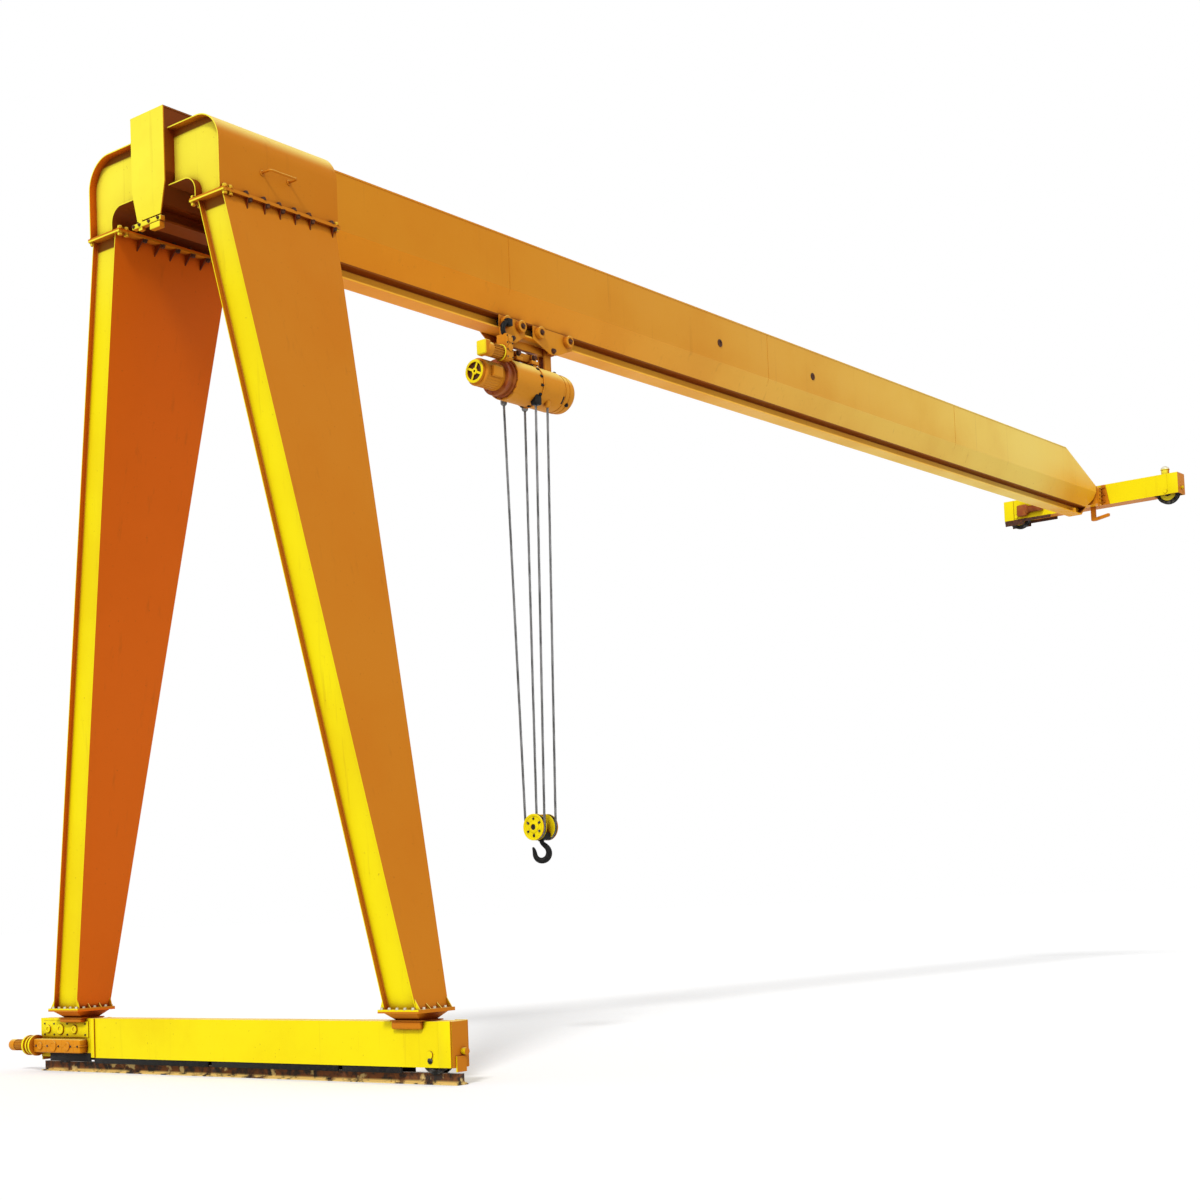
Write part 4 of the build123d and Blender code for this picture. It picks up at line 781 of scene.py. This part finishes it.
ARM_Y = -0.292
arm = disc("arm", 16, 0.036, (5.145, ARM_Y, 10.255), (0, math.pi / 2, 0))
push((-0.01, 0, 0))
bpy.ops.mesh.spin(steps=14, angle=math.radians(200), axis=(0, 1, 0), center=(5.135, ARM_Y, 10.140))
push((0.045, 0, 0.012))
close_up(40)
switch = [arm,
          block("switch box", (5.105, -0.335, 10.205), (5.200, -0.245, 10.312), 0.010, 3),
          turned("arm roller", (5.085, ARM_Y - 0.034, 10.028), (0, 1, 0),
                 [(0, 0.030), (0.004, 0.036), (0.064, 0.036), (0.068, 0.030)], 24)]
hang(joined("limit_switch_arm", switch), "black_iron", black_iron)


# Trolley travel drive: a geared motor hung on the near side plate. The gearbox is a cast case with a
# bolted lid, and the finned motor ends in a square lemon yellow cowl.
travel = finned_motor("travel_motor_shell", (5.015, -0.25, 9.795), (-1, 0, 0), 0.36, 0.104, 18)
hang(travel, "casing_paint", casing_enamel, "travel_motor")
cowl = [block("cowl", (4.587, -0.342, 9.690), (4.700, -0.158, 9.900), 0.020, 3),
        block("cowl lip", (4.584, -0.330, 9.702), (4.592, -0.170, 9.888), 0.003),
        turned("motor flange", (5.014, -0.25, 9.795), (-1, 0, 0),
               [(0, 0.118), (0.022, 0.118), (0.028, 0.110), (0.028, 0.100)], 32)]
hang(joined("travel_motor_cowl", cowl), "yellow_paint", lemon_enamel)
lid = [block("gearbox lid", (5.010, -0.366, 9.705), (5.150, -0.352, 10.050), 0.005),
       turned("lid boss", (5.08, -0.364, 9.86), (0, -1, 0),
              [(0, 0.052), (0.014, 0.052), (0.018, 0.044)], 28),
       turned("lid boss", (5.08, -0.364, 9.975), (0, -1, 0),
              [(0, 0.040), (0.012, 0.040), (0.016, 0.034)], 28)]
hang(joined("travel_gearbox_lid", lid), "casing_paint", casing_enamel)
lid_bolts = [((x, -0.366, z), (0, -1, 0)) for x in (5.026, 5.134) for z in (9.725, 9.83, 9.93, 10.03)]
hang(bolts("travel_gearbox_bolts", 0.018, lid_bolts), "bare_steel", wheel_steel)


# Hoist: a rope drum under the trolley between a slip-ring motor and a reduction gear, all flanged
# together on one line. The motor's end cover is a ring with a cross over dark vents.
HOIST_X = 4.70
HOIST_Z = 9.523


def hoop(name, centre, along, section, steps=40):
    """A ring: the corners of its section as (distance along the axis, radius), spun right round."""
    axis = Vector(along).normalized()
    out = axis.orthogonal().normalized()
    corners = [Vector(centre) + axis * at + out * radius for at, radius in section]
    ring = traced(name, corners, "NOTHING")
    bpy.ops.mesh.spin(steps=steps, angle=2 * math.pi, axis=axis, center=centre)
    bpy.ops.mesh.select_all(action="SELECT")
    bpy.ops.mesh.remove_doubles(threshold=0.0002)
    close_up(32)
    return ring


motor_shell = [turned("hoist motor barrel", (HOIST_X, 0, HOIST_Z), (1, 0, 0),
                      [(0.040, 0.05), (0.040, 0.160), (0.058, 0.168), (0.062, 0.188), (0.070, 0.2),
                       (0.100, 0.2), (0.104, 0.192), (0.395, 0.192), (0.40, 0.2), (0.45, 0.2)], 48)]
fin = block("fin", (4.80, -0.004, 0.180), (5.10, 0.004, 0.199), 0.002, 1)
fin_places = [Matrix.Translation((0, 0, HOIST_Z)) @ Matrix.Rotation(turn, 4, "X") for turn in around(28)]
motor_shell.append(set_out("fins", fin, fin_places))
motor_shell.append(block("terminal box", (4.86, -0.245, HOIST_Z - 0.075),
                         (5.06, -0.180, HOIST_Z + 0.075), 0.012, 3))
shell_enamel = crane_enamel("shell_enamel", CASING_AMBER, corner_shade=0.35)
hang(joined("hoist_motor_shell", motor_shell), "casing_paint", shell_enamel, "hoist_motor")
cover = [hoop("cover ring", (HOIST_X, 0, HOIST_Z), (1, 0, 0),
              [(0.000, 0.134), (0.004, 0.130), (0.060, 0.130), (0.060, 0.170), (0.006, 0.170),
               (0.000, 0.164)], 48),
         turned("cover hub", (4.742, 0, HOIST_Z), (-1, 0, 0),
                [(0, 0.05), (0.030, 0.05), (0.036, 0.042), (0.036, 0.02), (0.030, 0.016)], 24)]
for turn in (0.45, 0.45 + math.pi / 2):
    bar = block("cross", (4.708, -0.134, -0.017), (4.724, 0.134, 0.017), 0.003)
    bar.data.transform(Matrix.Translation((0, 0, HOIST_Z)) @ Matrix.Rotation(turn, 4, "X"))
    cover.append(bar)
hang(joined("hoist_end_cover", cover), "casing_paint", lemon_enamel)
vents = turned("hoist_vents", (4.738, 0, HOIST_Z), (-1, 0, 0),
               [(0, 0.131), (0.003, 0.131), (0.004, 0.120)], 40)
hang(vents, "black_iron", rib_dirt_and_shade)
neck = turned("hoist_neck_ring", (5.15, 0, HOIST_Z), (1, 0, 0),
              [(0, 0.2), (0.001, 0.256), (0.008, 0.265), (0.045, 0.265), (0.05, 0.238), (0.125, 0.238),
               (0.13, 0.265), (0.172, 0.265), (0.179, 0.258), (0.18, 0.2)], 48)
hang(neck, "motor_paint", motor_enamel, "hoist_neck")
rims = [hoop("casing rim", (5.33, 0, HOIST_Z), (1, 0, 0),
             [(-0.004, 0.266), (-0.006, 0.268), (-0.006, 0.292), (0.000, 0.298), (0.002, 0.266)], 56),
        hoop("gear rim", (5.875, 0, HOIST_Z), (1, 0, 0),
             [(0.000, 0.296), (0.000, 0.311), (0.006, 0.317), (0.024, 0.317), (0.030, 0.311),
              (0.030, 0.296)], 56)]
hang(joined("hoist_casing_rims", rims), "casing_paint", casing_enamel)


def on_ring(x, radius, count, first):
    """Even spots on a flange of the hoist, each facing the near end."""
    return [((x, radius * math.cos(turn), HOIST_Z + radius * math.sin(turn)), (-1, 0, 0))
            for turn in around(count, first)]


ring_bolts = on_ring(5.152, 0.232, 12, 15) + on_ring(5.324, 0.280, 16, 10)
hang(bolts("hoist_ring_bolts", 0.022, ring_bolts), "motor_paint", motor_enamel)
knob = turned("gear knob", (0, 0, 0), (0, 0, 1),
              [(0, 0.016), (0.022, 0.016), (0.024, 0.021), (0.046, 0.021), (0.052, 0.014)], 14)
knob_places = [facing(*spot) for spot in on_ring(5.877, 0.301, 14, 8)]
hang(set_out("gear_rim_knobs", knob, knob_places), "black_iron", black_iron)
plugs = [turned("filler plug", (6.49, 0, HOIST_Z + 0.277), (0, 0, 1),
                [(0, 0.042), (0.026, 0.042), (0.030, 0.030), (0.052, 0.030), (0.060, 0.020)], 24),
         turned("drain plug", (6.50, -0.197, HOIST_Z - 0.197), (0, -1, -1),
                [(0, 0.034), (0.016, 0.034), (0.018, 0.022), (0.034, 0.022), (0.038, 0.016)], 6)]
level_slot = block("level slot", (6.362, -0.291, -0.058), (6.392, -0.276, 0.058), 0.004)
level_slot.data.transform(Matrix.Translation((0, 0, HOIST_Z)) @ Matrix.Rotation(math.radians(34), 4, "X"))
plugs.append(level_slot)
hang(joined("gearbox_plugs", plugs), "black_iron", black_iron)
gear_ribs = [hoop("gear rib", (x, 0, HOIST_Z), (1, 0, 0),
                  [(0.0, 0.276), (0.002, 0.291), (0.014, 0.291), (0.016, 0.276)], 48) for x in (6.41, 6.50)]
hang(joined("gearbox_ribs", gear_ribs), "casing_paint", casing_enamel)
apron = hoop("apron", (5.334, 0, HOIST_Z), (1, 0, 0),
             [(0.0, 0.287), (0.0, 0.299), (1.012, 0.299), (1.012, 0.287)], 72)
open_up()
bpy.ops.mesh.bisect(plane_co=(0, 0, HOIST_Z - 0.218), plane_no=(0, 0, 1), use_fill=True, clear_outer=True)
close_up(32)
hang(joined("hoist_rope_apron", [apron]), "casing_paint", casing_enamel)


# Rope falls: four falls of six-strand wire rope from the drum to the hook block, greased dark grey.
# They are laid round a core and stay taut, and each corner's share of the way down from the drum to
# the block is worked out.
ROPE_RADIUS = 0.019
ROPE_SIDE = 0.1783
ROPE_TOP = 9.523
ROPE_BOTTOM = 3.0404
ROPE_TURNS = 36
ROPE_ENDS = ((5.665, -1, 5.835), (5.665, 1, 5.52), (5.915, -1, 6.10), (5.915, 1, 6.00))
GREASE = (0.085, 0.085, 0.084, 1)
WIRE = (0.23, 0.23, 0.235, 1)
rope_wire = mottled("rope_wire", (WIRE, GREASE), (30.0, 5.0, (1, 1, 0.15)), (0.38, 0.66), (0.42, 0.6),
                    (400.0, 2.0, 0.0006, 0.4), metal=0.45)
dress(rope_wire, "block_rope_turns")
strand_radius = ROPE_RADIUS * 0.40
strand_out = ROPE_RADIUS - strand_radius
falls = []
for foot_x, way, head_x in ROPE_ENDS:
    top = Vector((head_x, way * ROPE_SIDE, ROPE_TOP))
    bottom = Vector((foot_x, way * ROPE_SIDE, ROPE_BOTTOM))
    strands = []
    for turn in around(6):
        bpy.ops.object.select_all(action="DESELECT")
        bpy.ops.mesh.primitive_circle_add(
            vertices=6, radius=strand_radius,
            location=(strand_out * math.cos(turn), strand_out * math.sin(turn), 0))
        bpy.ops.object.transform_apply()
        strands.append(bpy.context.object)
    fall = joined("rope_fall", strands)
    lay = fall.modifiers.new("lay", "SCREW")
    lay.screw_offset = (top - bottom).length
    lay.angle = 2 * math.pi * ROPE_TURNS
    lay.steps = lay.render_steps = ROPE_TURNS * 8
    bpy.ops.object.modifier_apply(modifier=lay.name)
    open_up()
    bpy.ops.mesh.fill_holes(sides=0)
    close_up(180)
    lean = Vector((0, 0, 1)).rotation_difference(top - bottom).to_matrix().to_4x4()
    fall.data.transform(Matrix.Translation(bottom) @ lean)
    falls.append(fall)
ropes = joined("rope_falls", falls)
ropes.data.materials.clear()
ropes.data.materials.append(rope_wire)
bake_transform(ropes)
drawn = [(ROPE_TOP - corner.co.z) / (ROPE_TOP - ROPE_BOTTOM) for corner in ropes.data.vertices]
drawn = [min(max(share, 0.0), 1.0) for share in drawn]
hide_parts("hoist_ropes")
sleeves = []
for foot_x, way, head_x in ROPE_ENDS[1:]:
    exit_x = foot_x + (head_x - foot_x) * 0.957
    sleeves.append(turned("rope sleeve", (exit_x, way * ROPE_SIDE, 9.315), (0, 0, -1),
                          [(0, 0.048), (0.078, 0.048), (0.096, 0.040), (0.106, 0.026)], 24))
hang(joined("rope_sleeves", sleeves[:1] + sleeves[2:]), "rope_steel", rope_wire)
sleeves[1].name = "painted_rope_sleeve"
hang(sleeves[1], "casing_paint", casing_enamel)
rope_guide = block("rope_guide", (5.765, -0.245, 9.20), (5.895, -0.125, 9.36), 0.022, 3)
hang(rope_guide, "black_iron", black_iron)


# Hook block: two sheaves between pressed covers on one pin, with a forged yoke below for the hook.
# The covers are dished, with a raised hub, hand slots and bolts, and painted lemon yellow.
BLOCK = Vector((5.79, 0, 3.04))
cover_discs = []
cover_bolts = []
for way in (-1, 1):
    outer = BLOCK + Vector((way * 0.150, 0, 0))
    cover_discs.append(turned("outer cover", outer, (way, 0, 0),
                              [(0, 0.180), (0.001, 0.192), (0.014, 0.192), (0.018, 0.186),
                               (0.016, 0.165), (0.004, 0.150), (0.004, 0.095), (0.016, 0.080),
                               (0.022, 0.060), (0.022, 0.046), (0.012, 0.040)], 48))
    inner = BLOCK + Vector((way * 0.087, 0, 0))
    cover_discs.append(turned("inner cover", inner, (way, 0, 0),
                              [(0, 0.05), (0.001, 0.188), (0.004, 0.192), (0.008, 0.188),
                               (0.009, 0.05)], 48))
    for turn in around(6, 30):
        spot = BLOCK + Vector((way * 0.155, 0.122 * math.cos(turn), 0.122 * math.sin(turn)))
        cover_bolts.append((spot, (way, 0, 0)))
    cover_bolts.append((BLOCK + Vector((way * 0.160, 0, 0)), (way, 0, 0)))
cover_discs.append(block("tie plate", (5.64, -0.030, 3.205), (5.94, 0.030, 3.222), 0.004))
settle(joined("block_cover_discs", cover_discs), "hook_block", "yellow_paint", lemon_enamel, "block_covers")
settle(bolts("block_cover_bolts", 0.028, cover_bolts), "hook_block", "bare_steel", wheel_steel)
hand_slots = []
for way in (-1, 1):
    for turn in around(3, 60):
        slot_mark = block("hand slot", (0.150, -0.017, 0.098), (0.1565, 0.017, 0.146), 0.003, 2)
        slot_mark.data.transform(Matrix.Translation(BLOCK) @ Matrix.Diagonal((way, 1, 1, 1))
                                 @ Matrix.Rotation(turn, 4, "X"))
        open_up()
        close_up(35)
        hand_slots.append(slot_mark)
settle(joined("block_hand_slots", hand_slots), "hook_block", "black_iron", rib_dirt_and_shade)
dress(black_iron, "block_yoke")


# Hook: a forged point hook on a shank that turns in the yoke, held by a nut. The back is deep and
# the tip is drawn out to a blunt point. It is left black from the forge.
HOOK = Vector((5.79, 0, 2.66))
HOOK_TURN = math.radians(-51.5)
HOOK_STATIONS = [
    (-0.124, 0.098, 0.013, 0.016), (-0.113, 0.072, 0.022, 0.022), (-0.101, 0.036, 0.030, 0.028),
    (-0.098, -0.005, 0.035, 0.031), (-0.088, -0.050, 0.039, 0.033), (-0.056, -0.090, 0.043, 0.035),
    (-0.008, -0.107, 0.046, 0.037), (0.046, -0.099, 0.049, 0.038), (0.089, -0.063, 0.050, 0.038),
    (0.110, -0.010, 0.049, 0.036), (0.106, 0.045, 0.045, 0.035), (0.079, 0.092, 0.041, 0.033),
    (0.038, 0.126, 0.037, 0.032), (0.008, 0.155, 0.034, 0.032), (0.0, 0.195, 0.032, 0.032),
    (0.0, 0.245, 0.032, 0.032), (0.0, 0.300, 0.032, 0.032)]
HOOK_SIDES = 20
forged = disc("forging", HOOK_SIDES, 1.0)
for station in HOOK_STATIONS[1:]:
    push((0, 0, 0.1))
bpy.ops.object.mode_set(mode="OBJECT")
for index, (across, rise, deep, thick) in enumerate(HOOK_STATIONS):
    before = Vector(HOOK_STATIONS[max(index - 1, 0)][:2])
    after = Vector(HOOK_STATIONS[min(index + 1, len(HOOK_STATIONS) - 1)][:2])
    run = (after - before).normalized()
    for step, turn in enumerate(around(HOOK_SIDES)):
        out = deep * math.cos(turn)
        spot = Vector((across + run.y * out, thick * math.sin(turn), rise - run.x * out))
        forged.data.vertices[index * HOOK_SIDES + step].co = spot
skin = forged.modifiers.new("forged skin", "SUBSURF")
skin.levels = skin.render_levels = 1
bpy.ops.object.modifier_apply(modifier=skin.name)
open_up()
close_up(180)
nut = turned("nut", (0, 0, 0.295), (0, 0, 1), [(0, 0.056), (0.028, 0.056), (0.035, 0.048)], 6)
collar = turned("collar", (0, 0, 0.175), (0, 0, 1),
                [(0, 0.034), (0.004, 0.045), (0.016, 0.045), (0.020, 0.034)], 28)
hook_piece = joined("forged_hook", [forged, nut, collar])
hook_piece.data.transform(Matrix.Translation(HOOK) @ Matrix.Rotation(HOOK_TURN, 4, "Z"))
settle(hook_piece, "hook", "black_iron", black_iron, "hook")


# Studio: a wide pale floor under an even white sky, and one key lamp high at the front left.
# The camera looks up along the girder at the photograph's viewing angle.
FLOOR_WHITE = (0.80, 0.80, 0.80, 1)
FLOOR_LIFT = 0.24
SKY_LIGHT = 0.60
KEY_STRENGTH = 1.80
CAMERA_PLACE = (-15.224, -17.807, 1.855)
bpy.ops.object.select_all(action="DESELECT")
bpy.ops.mesh.primitive_plane_add(size=1200, location=(0, 0, -0.002))
floor = bpy.context.object
floor.name = "studio_floor"
floor_finish, shader, place = new_finish("floor_white")


def in_view(tree):
    """1 where a surface is looked at, straight or in metal or glass, and 0 where it only gives light."""
    rays = tree.nodes.new("ShaderNodeLightPath").outputs
    seen = sums("MAXIMUM", rays["Is Camera Ray"], rays["Is Glossy Ray"])
    return sums("MAXIMUM", seen, rays["Is Transmission Ray"])


shader.inputs["Base Color"].default_value = FLOOR_WHITE
shader.inputs["Roughness"].default_value = 1.0
shader.inputs["Specular IOR Level"].default_value = 0.0
shader.inputs["Emission Color"].default_value = (1, 1, 1, 1)
wire(sums("MULTIPLY", in_view(floor_finish.node_tree), FLOOR_LIFT), shader, "Emission Strength")
floor.data.materials.append(floor_finish)

sky = bpy.data.worlds.new("studio_sky")
bpy.context.scene.world = sky
sky.use_nodes = True
background = sky.node_tree.nodes["Background"]
background.inputs["Color"].default_value = (1, 1, 1, 1)
wire(spread(in_view(sky.node_tree), 0, 1, SKY_LIGHT, 1.0), background, "Strength")

key_data = bpy.data.lights.new("key_lamp", "SUN")
key_data.energy = KEY_STRENGTH
key_data.angle = math.radians(11)
key_lamp = bpy.data.objects.new("key_lamp", key_data)
bpy.context.collection.objects.link(key_lamp)
key_lamp.rotation_euler = Vector((0.66, 0.32, -0.68)).to_track_quat("-Z", "Y").to_euler()

camera_data = bpy.data.cameras.new("camera")
camera_data.sensor_width = 36
camera_data.lens = 57.2036
camera_data.shift_y = 0.1589
camera_data.clip_end = 2000
camera = bpy.data.objects.new("camera", camera_data)
bpy.context.collection.objects.link(camera)
yaw, pitch, roll = math.radians(51.547), math.radians(3.49), math.radians(-2.259)
aim = Matrix.Rotation(-yaw, 4, "Z") @ Matrix.Rotation(math.pi / 2 + pitch, 4, "X")
camera.matrix_world = Matrix.Translation(CAMERA_PLACE) @ aim @ Matrix.Rotation(roll, 4, "Z")
bpy.context.scene.camera = camera
bpy.context.scene.view_settings.view_transform = "Standard"
